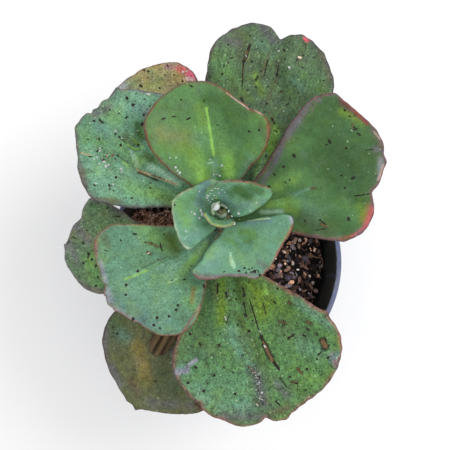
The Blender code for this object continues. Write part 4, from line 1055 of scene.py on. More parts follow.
    "leaf_10": """
        all blue_green 1.27, blue_grey 10 8.2 19.4 20.2 1.1 1
        shaded_yellow 17.4 2.8 19.9 4.2 1.3 .6, glaucous 17 -23 14 -12 3.4 .6
        blue_grey 20 -24 19 -17 2.8 .5, glaucous 24 19 25 25 2.8 .4, grey_purple 32 2 37 3 1.9 .55
        grey_purple 20.1 -28.8 35.9 -3.2 1.2 .7, specks 28 -8 35 0 2.8 1.6, lift 8 2 18 2 4 -.5
        margin brick 0.43 .85 28 28 37 2 2.2, margin plum 0.56 .8 20 -31 39 -2 2.2
        patch cream 9.6 10.5 17.8 20.8 .25 .9, patch mid 12.4 3.8 16.7 9 1.6 .8
        patch mid 16 3 19 8 1.7 .7, patch mid 10.3 -6.2 16.1 -2.2 1.3 .65
        patch pale_bloom 18.7 -7.5 22 -9.5 .45 1, patch pale_bloom 22.1 -9.5 26.2 -10.2 1 1
        patch lilac 24.6 29.8 27.1 29 1 .8, patch sand 28.3 25.8 30.1 20 .39 .6
        spot 33.4 -4.8 34.2 -3.2 .39 .85, spot 31.3 -5 31.9 -4.2 .34 .8, spot 34.9 -1 36.8 -2 .34 .7
        dots 29.5 -9.5 .6 29.7 -6.2 .5 32 -3 .4 34.4 -2.8 .7 32.4 -7 .4 37.6 -1.8 .5 25.6 -16.2 .4
        """,
    "leaf_11": """
        all blue_green 1.34, fresh 24 -6 20 4 3.4 .65, mid 23 -8 17 -10 2.8 .6
        blue_grey 12 -6 8 -6 1.9 .6, blue_grey 20 13 15 10 3.4 .5, deep 9.4 4.8 5.3 4.8 1.5 .5
        lift 4 0 24 0 3 -.5, margin cream 0.37 .7 27 -6 21 19 2.8
        margin tan 0.37 .85 11 -23 24 -12 2.2, patch blue_grey 11 -18 14 -6 1.9 .8
        patch pale_bloom 20.9 11 22.5 13.2 .22 .8, chalk 20.8 8.5 20.5 8.8 .28 .9
        chalk 13.6 -13.5 13 -13 .28 .8
        dots 26.3 -5.5 .4
        """,
    "leaf_12": """
        all blue_green 1.27, blue_grey 16 6 9 0 2.5 .75, fresh 23.9 -10.8 23 -15 1.5 .6
        blue_grey 8 -3 19 -15 2 .7, dark 23.1 0 22.8 -4.5 1.2 .5, deep 19 4 16 0 1.7 .6
        fresh 11.6 7.8 6.5 5.2 1 .7, glaucous 15 -12 20 -15 1.7 .5
        margin ochre 0.34 .7 27 5 27 -15 2.2, margin brick 0.30 .7 26 8 27 -12 1.7
        patch deep 22 0 19 -7 3.1 .95, patch deep 25 -6 24 -12 1.9 .85, spot 27.7 -.8 27.5 -2 .45 1
        spot 27.7 5.5 27.5 4.2 .39 .8, spot 27.7 -7 27.6 -7.5 .39 .8
        spot 27.1 -14.8 27.9 -15 .45 .8, chalk 16.9 -12.8 16.9 -13.2 .28 .7
        """,
    "leaf_13": """
        all glaucous 1.15, fresh 8 0 14 0 5 .5, margin straw 0.34 .8
        """,
    "leaf_14": """
        all glaucous 1.15, margin cream 0.31 .5
        """,
}


def mark_rows(table):
    """The rows of a table of marks, which commas or new lines part, with numbers as numbers."""
    rows = [row.split() for row in table.strip().replace("\n", ",").split(",")]
    return [[row[0]] + [word if word[0].isalpha() else float(word) for word in row[1:]]
            for row in rows]


def half_width(stations, share):
    """Half-width of a leaf at a share of its length: a smooth curve through the widths at the
    stations, closed by a blunt tip."""
    closing = np.sqrt(1 - WIDTH_STATIONS**TIP_BLUNTNESS)
    curve = np.polyfit(WIDTH_STATIONS, np.array(stations) / closing, len(WIDTH_STATIONS) - 1)
    return np.polyval(curve, share) * np.sqrt(np.clip(1 - share**TIP_BLUNTNESS, 0, 1))


def leaf_outline(leaf, turn):
    """Flat outline of a leaf, with x along it and y to its left. turn goes once round it and is
    0 at the tip."""
    share = 0.5 + 0.5 * np.cos(turn)
    base = leaf.petiole / 2
    width = np.where(np.sin(turn) >= 0, half_width((base, *leaf.left), share),
                     -half_width((base, *leaf.right), share))
    width *= np.sqrt(1 - (1 - np.clip(share / BASE_ROUNDING, 0, 1)) ** 2)
    centre = leaf.length * BLADE_CENTRE
    x = leaf.length * share - centre
    way = np.degrees(np.arctan2(width, x))
    waves = sum(size * np.sin(np.radians(count * way + shift * leaf.azimuth))
                for size, count, shift in UNEVENNESS)
    reach = 1 + waves * np.clip((share - 0.3) / 0.2, 0, 1)
    for towards, depth, spread in leaf.notches:
        reach -= depth / 100 * np.exp(-np.abs((way - towards) / spread) ** 1.5)
    return centre + x * reach, width * reach


def leaf_base(leaf):
    """Where a leaf's midrib starts, a little inside the stem."""
    along = (leaf.height - SOIL_LEVEL) / STEM_AXIS[2]
    way = math.radians(leaf.azimuth)
    out = stem_radius(along) - BASE_IN_STEM
    return STEM_FOOT + STEM_AXIS * along + out * np.array([math.cos(way), math.sin(way), 0.0])


def midrib(leaf, x):
    """Points of the midrib at distances x from its base, and how steeply it climbs there, in
    radians. The climb changes evenly from the base to the tip."""
    share = np.linspace(0.0, 1.1, 80)
    climb = np.radians(leaf.rise + (leaf.tip_rise - leaf.rise) * share)
    step = leaf.length * share[1]
    out = np.concatenate([[0.0], np.cumsum(np.cos(climb[1:]) + np.cos(climb[:-1])) * step / 2])
    up = np.concatenate([[0.0], np.cumsum(np.sin(climb[1:]) + np.sin(climb[:-1])) * step / 2])
    out, up, climb = (np.interp(x, share * leaf.length, line) for line in (out, up, climb))
    way = math.radians(leaf.azimuth)
    flat = np.stack([out * math.cos(way), out * math.sin(way), up], axis=1)
    return leaf_base(leaf) + flat, climb


def bend_blade(leaf, x, y, lift):
    """Takes points of the flat leaf, each lifted off its mid-surface, to where they are once
    the midrib climbs, the blade rolls and cups about it, and the margin ruffles."""
    spine, climb = midrib(leaf, x)
    way = math.radians(leaf.azimuth)
    level_across = np.array([-math.sin(way), math.cos(way), 0.0])
    level_up = np.stack([-np.sin(climb) * math.cos(way), -np.sin(climb) * math.sin(way),
                         np.cos(climb)], axis=1)
    share = np.clip(x / leaf.length, 0, 1)
    roll = np.radians(leaf.roll * share)[:, None]
    across = level_across * np.cos(roll) + level_up * np.sin(roll)
    up = level_up * np.cos(roll) - level_across * np.sin(roll)

    blade = np.clip(share / BLADE_CENTRE, 0, 1)
    blade = blade * blade * (3 - 2 * blade)
    widest = np.where(y >= 0, max(leaf.left), max(leaf.right))
    reach = leaf.petiole / 2 * (1 - blade) + widest * blade
    cup = np.radians(PETIOLE_CUP * (1 - blade) + leaf.cup * blade)
    bend = cup * y / reach
    sideways = reach / cup * np.sin(bend)
    rise = reach / cup * (1 - np.cos(bend))

    height, waves, phase = leaf.ruffle
    turn = np.arctan2(y, x - BLADE_CENTRE * leaf.length)
    outness = np.hypot(y / reach, (share - BLADE_CENTRE) / (1 - BLADE_CENTRE))
    ripple = np.sin(waves * turn + math.radians(phase))
    rise += height * np.clip(outness, 0, 1.1) ** 3 * ripple * blade

    sideways, rise, bend, lift = (line[:, None] for line in (sideways, rise, bend, lift))
    facing = up * np.cos(bend) - across * np.sin(bend)
    return spine + across * sideways + up * rise + facing * lift


def clear_of_stem(points):
    """Presses points that would lie inside the stem out until they are only just sunk in it."""
    from_foot = points - STEM_FOOT
    along = from_foot @ STEM_AXIS
    radial = from_foot - along[:, None] * STEM_AXIS
    distance = np.linalg.norm(radial, axis=1)
    skin = stem_radius(along) - SINK
    inside = (distance < skin) & (along < STEM_LENGTH + STEM_DOME)
    push = np.where(inside, skin / np.maximum(distance, 1e-6), 1.0)
    return points + radial * (push - 1)[:, None]


def away_from(x, y, row):
    """Distance of points from the line between two places that a row of marks starts with."""
    x0, y0, x1, y1 = row
    dx, dy = x1 - x0, y1 - y0
    share = np.clip(((x - x0) * dx + (y - y0) * dy) / max(dx * dx + dy * dy, 1e-9), 0, 1)
    return np.hypot(x - x0 - share * dx, y - y0 - share * dy)


def softly(x, y, row):
    """How much of a soft stroke there is at points: 1 on the line that its row starts with, less
    with the distance from it as a bell curve of the half-width, which is the row's last number."""
    return np.exp(-(away_from(x, y, row[:4]) / row[4]) ** 2)


def laid_over(tone, colour, share):
    """A share, from 0 to 1 at each place, of a named colour laid over the tones there."""
    share = share[:, None]
    return tone * (1 - share) + linear(LEAF_COLOURS[colour]) * share


def hem_distance(x, y, margin_x, margin_y):
    """Distance of points inside a leaf from its margin, a closed line of points."""
    nearest = np.full(x.shape, np.inf)
    next_x, next_y = np.roll(margin_x, -1), np.roll(margin_y, -1)
    dx, dy = next_x - margin_x, next_y - margin_y
    for part in np.array_split(np.arange(len(x)), max(1, len(x) // 400)):
        px, py = x[part, None] - margin_x, y[part, None] - margin_y
        share = np.clip((px * dx + py * dy) / (dx * dx + dy * dy), 0, 1)
        nearest[part] = np.hypot(px - share * dx, py - share * dy).min(axis=1)
    return nearest


def leaf_skin_points(leaf, rows, x, y, hem, face):
    """Points on a leaf's upper (face 1) or lower (face -1) skin. The two skins stand half the
    thickness off the middle and meet at the margin in a rounding. Both follow the leaf's relief:
    long swells, a fine crinkle that grows towards the margin, and the lifts among its marks."""
    seed = int(leaf.azimuth * 7)
    blade = np.clip(x / leaf.length / 0.4, 0, 1)
    size = min(1.0, leaf.length / FULL_RELIEF)
    height, length, count = SWELL
    relief = height * size * blade * random_waves(x, y, length * size, count, seed)
    height, length, count = FINE_RELIEF
    relief += height * size * blade * random_waves(x, y, length, count, seed + 1)
    height, length, count = CRINKLE
    crinkle = random_waves(x, y, length * size, count, seed + 2)
    relief += height * size * blade * np.exp(-hem / (CRINKLE_REACH * size)) * crinkle
    for kind, *numbers in rows:
        if kind == "lift":
            relief += numbers[5] * softly(x, y, numbers[:5])
    at_base, in_blade = leaf.thick
    thickness = in_blade + (at_base - in_blade) * (1 - np.clip(x / leaf.length, 0, 1)) ** 1.5
    round_over = MARGIN_ROUNDING * in_blade / BLADE_THICKNESS
    rounding = np.sqrt(1 - (1 - np.clip(hem / round_over, 0, 1)) ** 2)
    return clear_of_stem(bend_blade(leaf, x, y, relief + face * thickness / 2 * rounding))


def leaf_paint(leaf, rows, x, y, hem):
    """The colour of a leaf's skin at flat places, and how much spot, cork, chalk, wetness and
    extra specks there is. All of the leaf is as bright as its first row says. A soft stroke fades
    as a bell curve with the distance from its line. A sharp one falls evenly, and is half gone at
    its half-width."""
    tone = np.zeros((len(x), 3))
    brightness = 1.0
    fields = {name: np.zeros(len(x)) for name in ("spot", "cork", "chalk", "wet", "specks")}
    for kind, *numbers in rows:
        if kind == "all":
            tone[:] = linear(LEAF_COLOURS[numbers[0]])
            # The brightness is partly painted light: it lightens the lowest leaves against the shade
            # that the leaves above lay on them.
            brightness = numbers[1]
        elif kind == "margin":
            colour, width, strength, *near = numbers
            if near:
                strength = strength * softly(x, y, near)
            uneven = width * (1 + HEM_UNEVENNESS * random_waves(x, y, 9, 6, int(leaf.azimuth)))
            glow = HEM_GLOW * strength * np.exp(-(hem / (HEM_GLOW_WIDTH * width)) ** 2)
            tone = laid_over(tone, colour, glow)
            tone = laid_over(tone, colour, strength * np.clip(1.6 - hem / uneven, 0, 1))
        elif kind in LEAF_COLOURS or kind == "patch":
            colour, *stroke, width, strength = numbers if kind == "patch" else [kind, *numbers]
            fade = softly(x, y, (*stroke, width))
            if kind == "patch":
                fade = np.clip(1.6 - away_from(x, y, stroke) / width, 0, 1)
            tone = laid_over(tone, colour, strength * fade)
        elif kind == "flecks":
            x0, y0, x1, y1, width, strength = numbers
            draw = np.random.default_rng(int(abs(x0 * 7 + y0 * 13)))
            count = int((math.hypot(x1 - x0, y1 - y0) + width) * width * FLECKS_A_SQUARE_MM)
            share = draw.uniform(0, 1, count)
            size = draw.uniform(*FLECK_SIZES, count)
            fleck_x = x0 + (x1 - x0) * share + draw.normal(0, width * 0.5, count)
            fleck_y = y0 + (y1 - y0) * share + draw.normal(0, width * 0.5, count)
            for number in range(count):
                away = np.hypot(x - fleck_x[number], y - fleck_y[number])
                mask = strength * np.clip(1.2 - away / (2 * size[number]), 0, 1)
                field = ("spot", "spot", "chalk")[number % 3]
                fields[field] = np.maximum(fields[field], mask)
        elif kind == "dots":
            for dot_x, dot_y, width in zip(*[iter(numbers)] * 3):
                mask = np.clip(1.1 - np.hypot(x - dot_x, y - dot_y) / (2 * width), 0, 1)
                fields["spot"] = np.maximum(fields["spot"], mask)
        elif kind in ("wet", "specks"):
            fields[kind] = np.maximum(fields[kind], numbers[5] * softly(x, y, numbers[:5]))
        elif kind != "lift":
            away, (width, strength) = away_from(x, y, numbers[:4]), numbers[4:]
            mask = strength * np.clip(1 - away / (2 * width), 0, 1)
            fields[kind] = np.maximum(fields[kind], mask)
    return tone * SKIN_DEPTH * brightness, fields


def leaf_mesh(leaf, rows, around, above):
    """A leaf's closed skin: rings that shrink from the margin to the blade's centre, on the
    upper face and again on the lower, closest together near the margin. It carries the flat
    place, the place among the veins, the distance from the margin, the face and the paint."""
    margin_x, margin_y = leaf_outline(leaf, once_round(around))
    centre = leaf.length * BLADE_CENTRE
    nicks = 1 - NICK_DEPTH * random_waves(margin_x, margin_y, NICK_LENGTH, 9, int(leaf.azimuth))
    margin_x, margin_y = centre + (margin_x - centre) * nicks, margin_y * nicks
    upper = 1 - (1 - np.arange(1, above + 1) / above) ** 1.2
    lower = 1 - (1 - np.arange(1, LEAF_RINGS_BELOW) / LEAF_RINGS_BELOW) ** 2
    shares = np.concatenate([upper, lower[::-1]])[:, None]
    x = np.concatenate([[centre], (centre + shares * (margin_x - centre)).ravel(), [centre]])
    y = np.concatenate([[0.0], (shares * margin_y).ravel(), [0.0]])
    face = np.ones(len(x))
    face[1 + above * around:] = -1
    hem = hem_distance(x, y, margin_x, margin_y)
    hem[1 + (above - 1) * around:1 + above * around] = 0.0
    points = leaf_skin_points(leaf, rows, x, y, hem, face)
    mesh = closed_shell(leaf.name + "_shape", points[0], points[1:-1].reshape(-1, around, 3),
                        points[-1])
    share = np.clip(x / leaf.length, 0, 1)
    reach = np.where(y >= 0, half_width((leaf.petiole / 2, *leaf.left), share),
                     half_width((leaf.petiole / 2, *leaf.right), share))
    veins = np.column_stack([x, VEIN_SPREAD * y / np.maximum(reach, 3.0), 0 * x])
    tone, fields = leaf_paint(leaf, rows, x, y, hem)
    give(mesh, "flat", np.column_stack([x, y, 0 * x + leaf.azimuth]))
    give(mesh, "veins", veins)
    give(mesh, "hem", hem)
    give(mesh, "face", face)
    give(mesh, "tone", with_alpha(tone))
    for name, values in fields.items():
        give(mesh, name, values)
    return mesh


# The skin of a leaf: mottled, streaked along the veins, grained and specked, with sharp-edged
# spots, cork and chalk where its marks say, a broken dark line at the margin, and a paler,
# purplish underside.
leaf_skin, w, given, leave = effect(
    "leaf_skin",
    (("Tone", "Color"), ("Flat", "Vector"), ("Veins", "Vector"),
     *((name, "Float") for name in ("Hem", "Face", "Spot", "Cork", "Chalk", "Wet", "Specks",
                                    "Streaks", "Contrast"))),
    (("Colour", "Color"), ("Roughness", "Float"), ("Height", "Float")))
flat, veins = given["Flat"], given["Veins"]
broad = w.noise(flat, 0.06, 3.0)
mottle = w.noise(flat, 0.3, 5.0, 0.6)
grain = w.noise(flat, 1.1, 3.0, 0.75)
streak = w.noise(w.stretched(veins, (0.07, 0.9, 1.0)), 1.0, 4.0, 0.65)
uneven = w.maths("MULTIPLY_ADD", mottle, 1.4, w.maths("MULTIPLY_ADD", grain, 2.2, -1.8))
wander = w.maths("SUBTRACT", streak, 0.5)
uneven = w.maths("ADD", uneven, w.maths("MULTIPLY", wander, given["Streaks"]))
light = w.maths("ADD", w.maths("MULTIPLY_ADD", broad, 0.5, 0.75),
                w.maths("MULTIPLY", uneven, given["Contrast"]))
colour = w.scaled(given["Tone"], w.maths("MAXIMUM", light, 0.2))
warmer = w.stretched(colour, (1.14, 1.03, 0.74))
colour = w.mixed(w.eased(w.noise(flat, 0.11, 3.0), 0.42, 0.72), colour, warmer)
bloomy = w.mixed(0.3, colour, solid((118, 142, 134)))
colour = w.mixed(w.maths("MULTIPLY", w.eased(w.noise(flat, 0.16, 5.0, 0.7), 0.52, 0.75), 0.5),
                 colour, bloomy)
azimuth = w.node("SeparateXYZ", {0: flat}, out=2)
seeded = w.node("VectorMath", {0: w.stretched(flat, (0.75, 1.0, 0.0)),
                               1: w.scaled((3.7, 1.3, 0.0), azimuth)}, operation="ADD")
seeded = w.node("VectorMath", {0: seeded, 1: w.scaled(w.node("TexNoise", {
    "Vector": flat, "Scale": 0.9, "Detail": 2.0}, out="Color"), 1.4)}, operation="ADD")
# Each layer of specks: cells in a millimetre, largest size in cells, strength, share, colour.
for scale, size, strength, share, tint in (
        (0.19, 0.14, 0.9, 0.12, (40, 32, 26)), (0.42, 0.15, 0.8, 0.5, (46, 44, 32)),
        (0.8, 0.24, 0.65, 0.9, (48, 54, 34)), (0.36, 0.13, 0.5, 0.6, (186, 206, 172))):
    cell = w.node("TexVoronoi", {"Vector": seeded, "Scale": scale}, out="Distance",
                  voronoi_dimensions="2D")
    lots = w.node("TexVoronoi", {"Vector": seeded, "Scale": scale}, out="Color",
                  voronoi_dimensions="2D")
    big, lot = (w.node("SeparateColor", {0: lots}, out=part) for part in (0, 1))
    reach = w.maths("MULTIPLY_ADD", w.maths("POWER", big, 1.6), size * 0.75, size * 0.25)
    dense = w.maths("MULTIPLY", given["Specks"], w.eased(broad, 0.35, 0.62, 0.2, 1.3))
    there = w.eased(w.maths("MULTIPLY_ADD", dense, share, w.maths("SUBTRACT", lot, 1.0)),
                    -0.04, 0.04)
    inside = w.maths("SUBTRACT", reach, cell)
    halo = w.maths("MULTIPLY", there, w.eased(inside, -0.13, -0.03, 0.0, 0.22 * strength))
    dot = w.maths("MULTIPLY", there, w.eased(inside, -0.02, 0.02, 0.0, strength))
    colour = w.mixed(halo, colour, w.scaled(colour, 1.9))
    colour = w.mixed(dot, colour, solid(tint))
wobble = w.maths("MULTIPLY_ADD", w.noise(flat, 1.2, 5.0, 0.75), 1.7, -0.85)
sharp = {}
for name, tint in (("Spot", (34, 24, 20)), ("Cork", (104, 84, 56)), ("Chalk", (206, 208, 198))):
    edge = w.maths("ADD", given[name], wobble)
    sharp[name] = w.maths("MULTIPLY", w.eased(edge, 0.38, 0.58), w.eased(given[name], 0.02, 0.2))
    colour = w.mixed(sharp[name], colour, w.scaled(tuple(linear(tint)),
                                                   w.maths("MULTIPLY_ADD", grain, 1.8, 0.1)))
hemline = w.eased(w.maths("ADD", given["Hem"], w.maths("MULTIPLY", mottle, 0.9)), 0.35, 0.95,
                  1.0, 0.0)
colour = w.mixed(w.maths("MULTIPLY", hemline, 0.35), colour, solid((52, 28, 30)))
under = w.scaled(w.mixed(0.45, colour, solid((150, 140, 150))), 0.95)
colour = w.mixed(w.eased(given["Face"], -0.2, 0.2), under, colour)
w.tree.links.new(colour, leave.inputs["Colour"])
rough = w.maths("MULTIPLY_ADD", mottle, 0.25, 0.4)
rough = w.maths("SUBTRACT", rough, w.maths("MULTIPLY", given["Wet"], 0.35))
rough = w.maths("ADD", rough, w.maths("MULTIPLY", sharp["Cork"], 0.3))
w.tree.links.new(rough, leave.inputs["Roughness"])
height = w.maths("MULTIPLY_ADD", streak, 0.3, w.maths("MULTIPLY", grain, 0.1))
for name, rise in (("Cork", 0.25), ("Chalk", 0.2), ("Spot", -0.25)):
    height = w.maths("MULTIPLY_ADD", sharp[name], rise, height)
w.tree.links.new(height, leave.inputs["Height"])


def leaf_finish(leaf):
    """The leaf skin with one leaf's specks, streaks and contrast."""
    made, w, shader = finish(leaf.name + "_skin", {"Specular IOR Level": 0.25})
    specks = w.maths("MULTIPLY_ADD", w.stored("specks"), 0.75, leaf.specks * 0.75)
    inputs = {"Tone": w.stored("tone", "Color"), "Flat": w.stored("flat", "Vector"),
              "Veins": w.stored("veins", "Vector"), "Specks": specks, "Streaks": leaf.streaks,
              "Contrast": leaf.contrast}
    for name in ("hem", "face", "spot", "cork", "chalk", "wet"):
        inputs[name.title()] = w.stored(name)
    skin = used(w, leaf_skin, inputs)
    feed(w, shader, skin.outputs["Colour"], skin.outputs["Roughness"], skin.outputs["Height"])
    return made


# How many points go round and across a leaf of at least this length.
LEAF_GRIDS = ((90, (416, 86)), (60, (340, 68)), (20, (240, 48)), (0, (96, 20)))
# The three youngest leaflets, which stand up round the growing tip: number, azimuth, length.
BUD_LEAVES = tuple(
    Leaf(f"bud_leaf_{number}", azimuth, 183.2, length, 0.36 * length, (0.26 * length,) * 4,
         (0.26 * length,) * 4, 64, 118, 45, "blue_green_leaf", 0.0, 0.1, 1.0, thick=(1.6, 1.0))
    for number, azimuth, length in ((1, 292, 8.5), (2, 70, 7.5), (3, 207, 6.0)))
BUD_MARKS = "all pale_bloom 1.1, margin yellow_green .3 .6"
leaf_rows = {leaf.name: mark_rows(LEAF_MARKS.get(leaf.name, BUD_MARKS))
             for leaf in LEAVES + BUD_LEAVES}
for leaf in LEAVES + BUD_LEAVES:
    rows = leaf_rows[leaf.name]
    around, above = next(grid for least, grid in LEAF_GRIDS if leaf.length > least)
    piece = shown(leaf.name + "_blade", leaf_mesh(leaf, rows, around, above), leaf_finish(leaf))
    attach(piece, "root")
    if leaf in LEAVES:
        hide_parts(leaf.name)

# WITHERED LEAF
# The oldest leaf has dried to a narrow, curled brown strip. It still hangs from the stem and
# lies on the lowest live leaf, and its papery skin has shrunk into folds along its length.
WITHERED = Leaf("withered_leaf", 239.5, 130.6, 72.5, 8, (4.5, 5.5, 6.5, 6.5),
                (4.5, 5, 6, 6.5), 8, -10, 20, "withered_leaf", 0.0, 0.6, 1.0,
                ((14, 7, 7), (-24, 5, 6)), thick=(1.6, 1.2))
LEAF_COLOURS |= {"dry_brown": (98, 74, 52), "dry_tan": (140, 110, 78), "dry_dark": (54, 38, 28)}
WITHERED_MARKS = """
    all dry_brown 1.5
    dry_tan 20 1 80 1.5 1.2 .8
    dry_tan 60 -3 82 -2 1.0 .7
    dry_dark 10 -1.4 84 -1 .8 .9
    dry_dark 20 3.2 80 3.4 .7 .8
    lift 6 -1.4 84 -1 .9 -1.0
    lift 6 1.2 84 1.5 .8 .7
    lift 10 3.2 80 3.4 .7 -.7
    lift 60 -3.4 84 -3 .8 .6
    margin dry_dark .5 .7
    """
WITHERED_GRID = (260, 14)
withered_rows = mark_rows(WITHERED_MARKS)
dry_leaf, w, shader = finish("dry_leaf", {"Roughness": 0.85, "Specular IOR Level": 0.2})
place = w.place()
fibre = w.noise(w.stretched(w.stored("veins", "Vector"), (0.12, 0.5, 1.0)), 1.0, 5.0, 0.7)
tint = w.scaled(w.stored("tone", "Color"), w.maths("MULTIPLY_ADD", fibre, 1.5, 0.25))
grimy = used(w, grime, {"Colour": tint, "Place": place, "Amount": 0.3})
feed(w, shader, grimy.outputs["Colour"], None, w.maths("MULTIPLY", fibre, 0.8))
withered = shown("withered_strip", leaf_mesh(WITHERED, withered_rows, *WITHERED_GRID), dry_leaf)
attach(withered, "root")
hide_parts("withered_leaf")

# DROPS AND CRUMBS
# The plant has just been watered: drops stand on the waxy skins and collect in the heart of the
# rosette, with a near-white body that is a painted highlight. Crumbs of bark and a pale flake lie
# where the water left them, and pale and near-black bits in the heart are painted glints and
# painted shade.
DROP_RISE = 0.62
DROP_SINK = 0.3
DROP_AROUND = 18
DROP_STEPS = 8
CRUMB_SHAPE = np.array([1.0, 0.6, 0.45])
CRUMB_LIE = 0.4
CRUMB_TILT = 25
# The drops' body is near white and only partly clear: a painted highlight, which stands for the glints
# of clear water.
WATER_GLINT_WHITE = (0.95, 0.98, 1.0, 1.0)
# Drops: (number of the leaf, x along it, y to its left, radius).
DROPS = (
    (6, 73.4, -1.2, 0.67), (6, 68.3, -0.5, 0.5), (6, 73.7, 11.5, 0.56), (6, 72.7, 12.5, 0.62),
    (6, 71.5, 16.2, 0.56), (6, 72.1, 18, 0.5), (6, 67.1, 15.8, 0.78), (6, 68.3, 18.2, 0.56),
    (6, 64.9, 16.8, 0.9), (6, 64.2, 15.2, 0.62), (6, 57.9, 12.5, 0.84), (6, 56.7, 13.5, 0.62),
    (6, 55.7, 21.8, 0.56), (6, 62.7, 27.8, 0.56), (6, 72.7, -28.5, 0.67), (6, 44.7, 9.2, 0.5),
    (4, 93.1, -7, 0.67), (4, 100.5, 1.2, 0.45), (9, 31, 19.5, 0.67), (9, 29.3, 19, 0.56),
    (9, 28, 18.2, 0.73), (9, 36.6, 21.5, 0.5), (9, 35.8, 18.2, 0.45), (9, 27.1, -5.2, 0.67),
    (9, 22.7, 0, 0.56), (9, 22.7, -1.8, 0.45), (9, 21.7, -3.2, 0.67), (9, 31.2, 0.5, 0.45),
    (11, 14.9, -1, 0.78), (11, 16.7, -2, 0.45), (11, 11.3, -2.8, 0.9), (11, 10.1, -1, 1.12),
    (11, 8.8, 0, 0.67), (11, 12, 1.2, 0.67), (11, 13.1, -13.5, 0.39), (11, 20.8, 8.2, 0.45),
    (12, 20.3, 9.8, 0.73), (12, 20.3, 11.5, 0.67), (12, 17.6, 12, 0.73), (12, 14.2, 11.8, 0.56),
    (12, 11.8, 12.2, 0.84), (12, 9.5, 12, 0.73), (12, 7.7, 10.8, 0.67), (12, 6.6, 9.5, 0.56),
    (12, 19.6, 7.2, 0.45), (12, 18, 5, 0.45), (12, 16, 7.5, 0.5), (12, 13.2, 9.2, 0.5),
    (12, 10.7, 7.5, 0.45), (12, 9.5, 9.2, 0.5), (12, 16.9, -12.8, 0.45), (12, 11.9, -12, 0.39),
    (2, 89.6, -16.2, 0.84), (2, 88.9, -18.5, 0.62), (5, 81.5, 0.8, 0.56), (5, 87.2, 1, 0.73),
)
# Drops held between the youngest leaves: (x, y, z, radius).
TIP_DROPS = (
    (-4.2, 28.8, 191.0, 2.2), (-0.9, 30.2, 185.6, 0.9), (-3.1, 24.8, 184.2, 0.7),
    (5.4, 20.6, 178.4, 0.8), (7.6, 25.5, 186.5, 0.7), (1.2, 28.6, 185.6, 0.6),
    (2.6, 27.0, 185.2, 0.5),
)
# Crumbs: (number of the leaf, x, y, longest side, colour).
CRUMBS = (
    (6, 66, 10, 2.2, (120, 84, 70)), (6, 64, 8, 1.6, (44, 30, 26)),
    (6, 68, 12, 1.4, (200, 160, 140)), (6, 76, 21, 1.0, (60, 44, 36)),
    (4, 100, -11, 3.0, (232, 204, 184)), (4, 101.8, -12.6, 1.5, (50, 34, 28)),
    (4, 98.4, -9.8, 1.3, (50, 34, 28)), (4, 105, 3, 1.4, (60, 44, 40)),
    (6, 84, 18, 1.0, (170, 140, 110)),
)
# Bits between the youngest leaves: (x, y, z, longest side, colour). The greenish-white ones are
# painted glints of light on the water held there, the near-black ones painted shade in the gaps
# between the leaflets, and the two brown ones low on the stem are crumbs of bark.
TIP_CRUMBS_GLINTS_AND_SHADE = (
    (-0.8, 28.2, 185.4, 1.6, (36, 32, 28)), (0.4, 25.4, 185.6, 1.4, (30, 26, 24)),
    (3.2, 25.2, 185.0, 1.5, (34, 30, 26)), (1.6, 27.2, 185.4, 1.2, (40, 34, 30)),
    (-2.0, 26.6, 185.8, 1.5, (180, 150, 150)), (2.4, 26.4, 185.8, 1.2, (214, 226, 216)),
    (4.2, 24.1, 184.8, 1.2, (206, 220, 208)), (0.2, 29.6, 186.4, 1.0, (214, 226, 216)),
    (-4.4, 17.0, 178.6, 1.8, (60, 44, 38)), (-5.2, 14.4, 176.6, 1.6, (88, 66, 52)),
)


def on_leaf(number, x, y):
    """A point on the upper skin of a leaf, counted from 1, and the way that it faces there,
    found from two points a tenth of a millimetre along and across."""
    leaf = LEAVES[number - 1]
    near_x, near_y = np.array([x, x + 0.1, x]), np.array([y, y, y + 0.1])
    hem = hem_distance(near_x, near_y, *leaf_outline(leaf, once_round(240)))
    spot, along, across = leaf_skin_points(leaf, leaf_rows[leaf.name], near_x, near_y, hem,
                                           np.ones(3))
    return spot, unit(np.cross(along - spot, across - spot))


def domes(name, places):
    """One mesh of drops: each is a low cap on a flat foot, sunk a little in what it lies on.
    Its height falls from the middle as the root of one less the square of the distance."""
    points, faces, start = [], [], 0
    turn = once_round(DROP_AROUND)
    for spot, up, radius in places:
        side = unit(np.cross(up, (1.0, 0.0, 0.0)))
        other = np.cross(side, up)
        share = np.sin(np.linspace(0, math.pi / 2, DROP_STEPS))[1:]
        rise = DROP_RISE * radius * np.sqrt(1 - np.clip(share, 0, 1) ** 2)
        share, rise = np.append(share, 0.9), np.append(rise, -DROP_SINK)
        rings = (spot + up * rise[:, None, None] + (side * np.cos(turn)[:, None]
                 - other * np.sin(turn)[:, None]) * (share * radius)[:, None, None])
        mesh = closed_shell("drop", spot + up * DROP_RISE * radius, rings, spot - up * DROP_SINK)
        count = len(mesh.vertices)
        local = np.zeros(count * 3, np.float32)
        mesh.vertices.foreach_get("co", local)
        points.append(local.reshape(-1, 3))
        faces += [[start + index for index in face.vertices] for face in mesh.polygons]
        start += count
        bpy.data.meshes.remove(mesh)
    mesh = bpy.data.meshes.new(name)
    mesh.from_pydata(np.concatenate(points).tolist(), [], faces)
    mesh.shade_smooth()
    return mesh


wet_places = [(*on_leaf(number, x, y), radius) for number, x, y, radius in DROPS]
wet_places += [(np.array(place), np.array([0.0, 0.0, 1.0]), radius)
               for *place, radius in TIP_DROPS]
# Water with a painted highlight: a near-white body under partial transmission.
water, w, shader = finish("water", {"Roughness": 0.05, "Transmission Weight": 0.55, "IOR": 1.33})
shader.inputs["Base Color"].default_value = WATER_GLINT_WHITE
drops = shown("water_drops", domes("drop_shapes", wet_places), water)
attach(drops, "root")

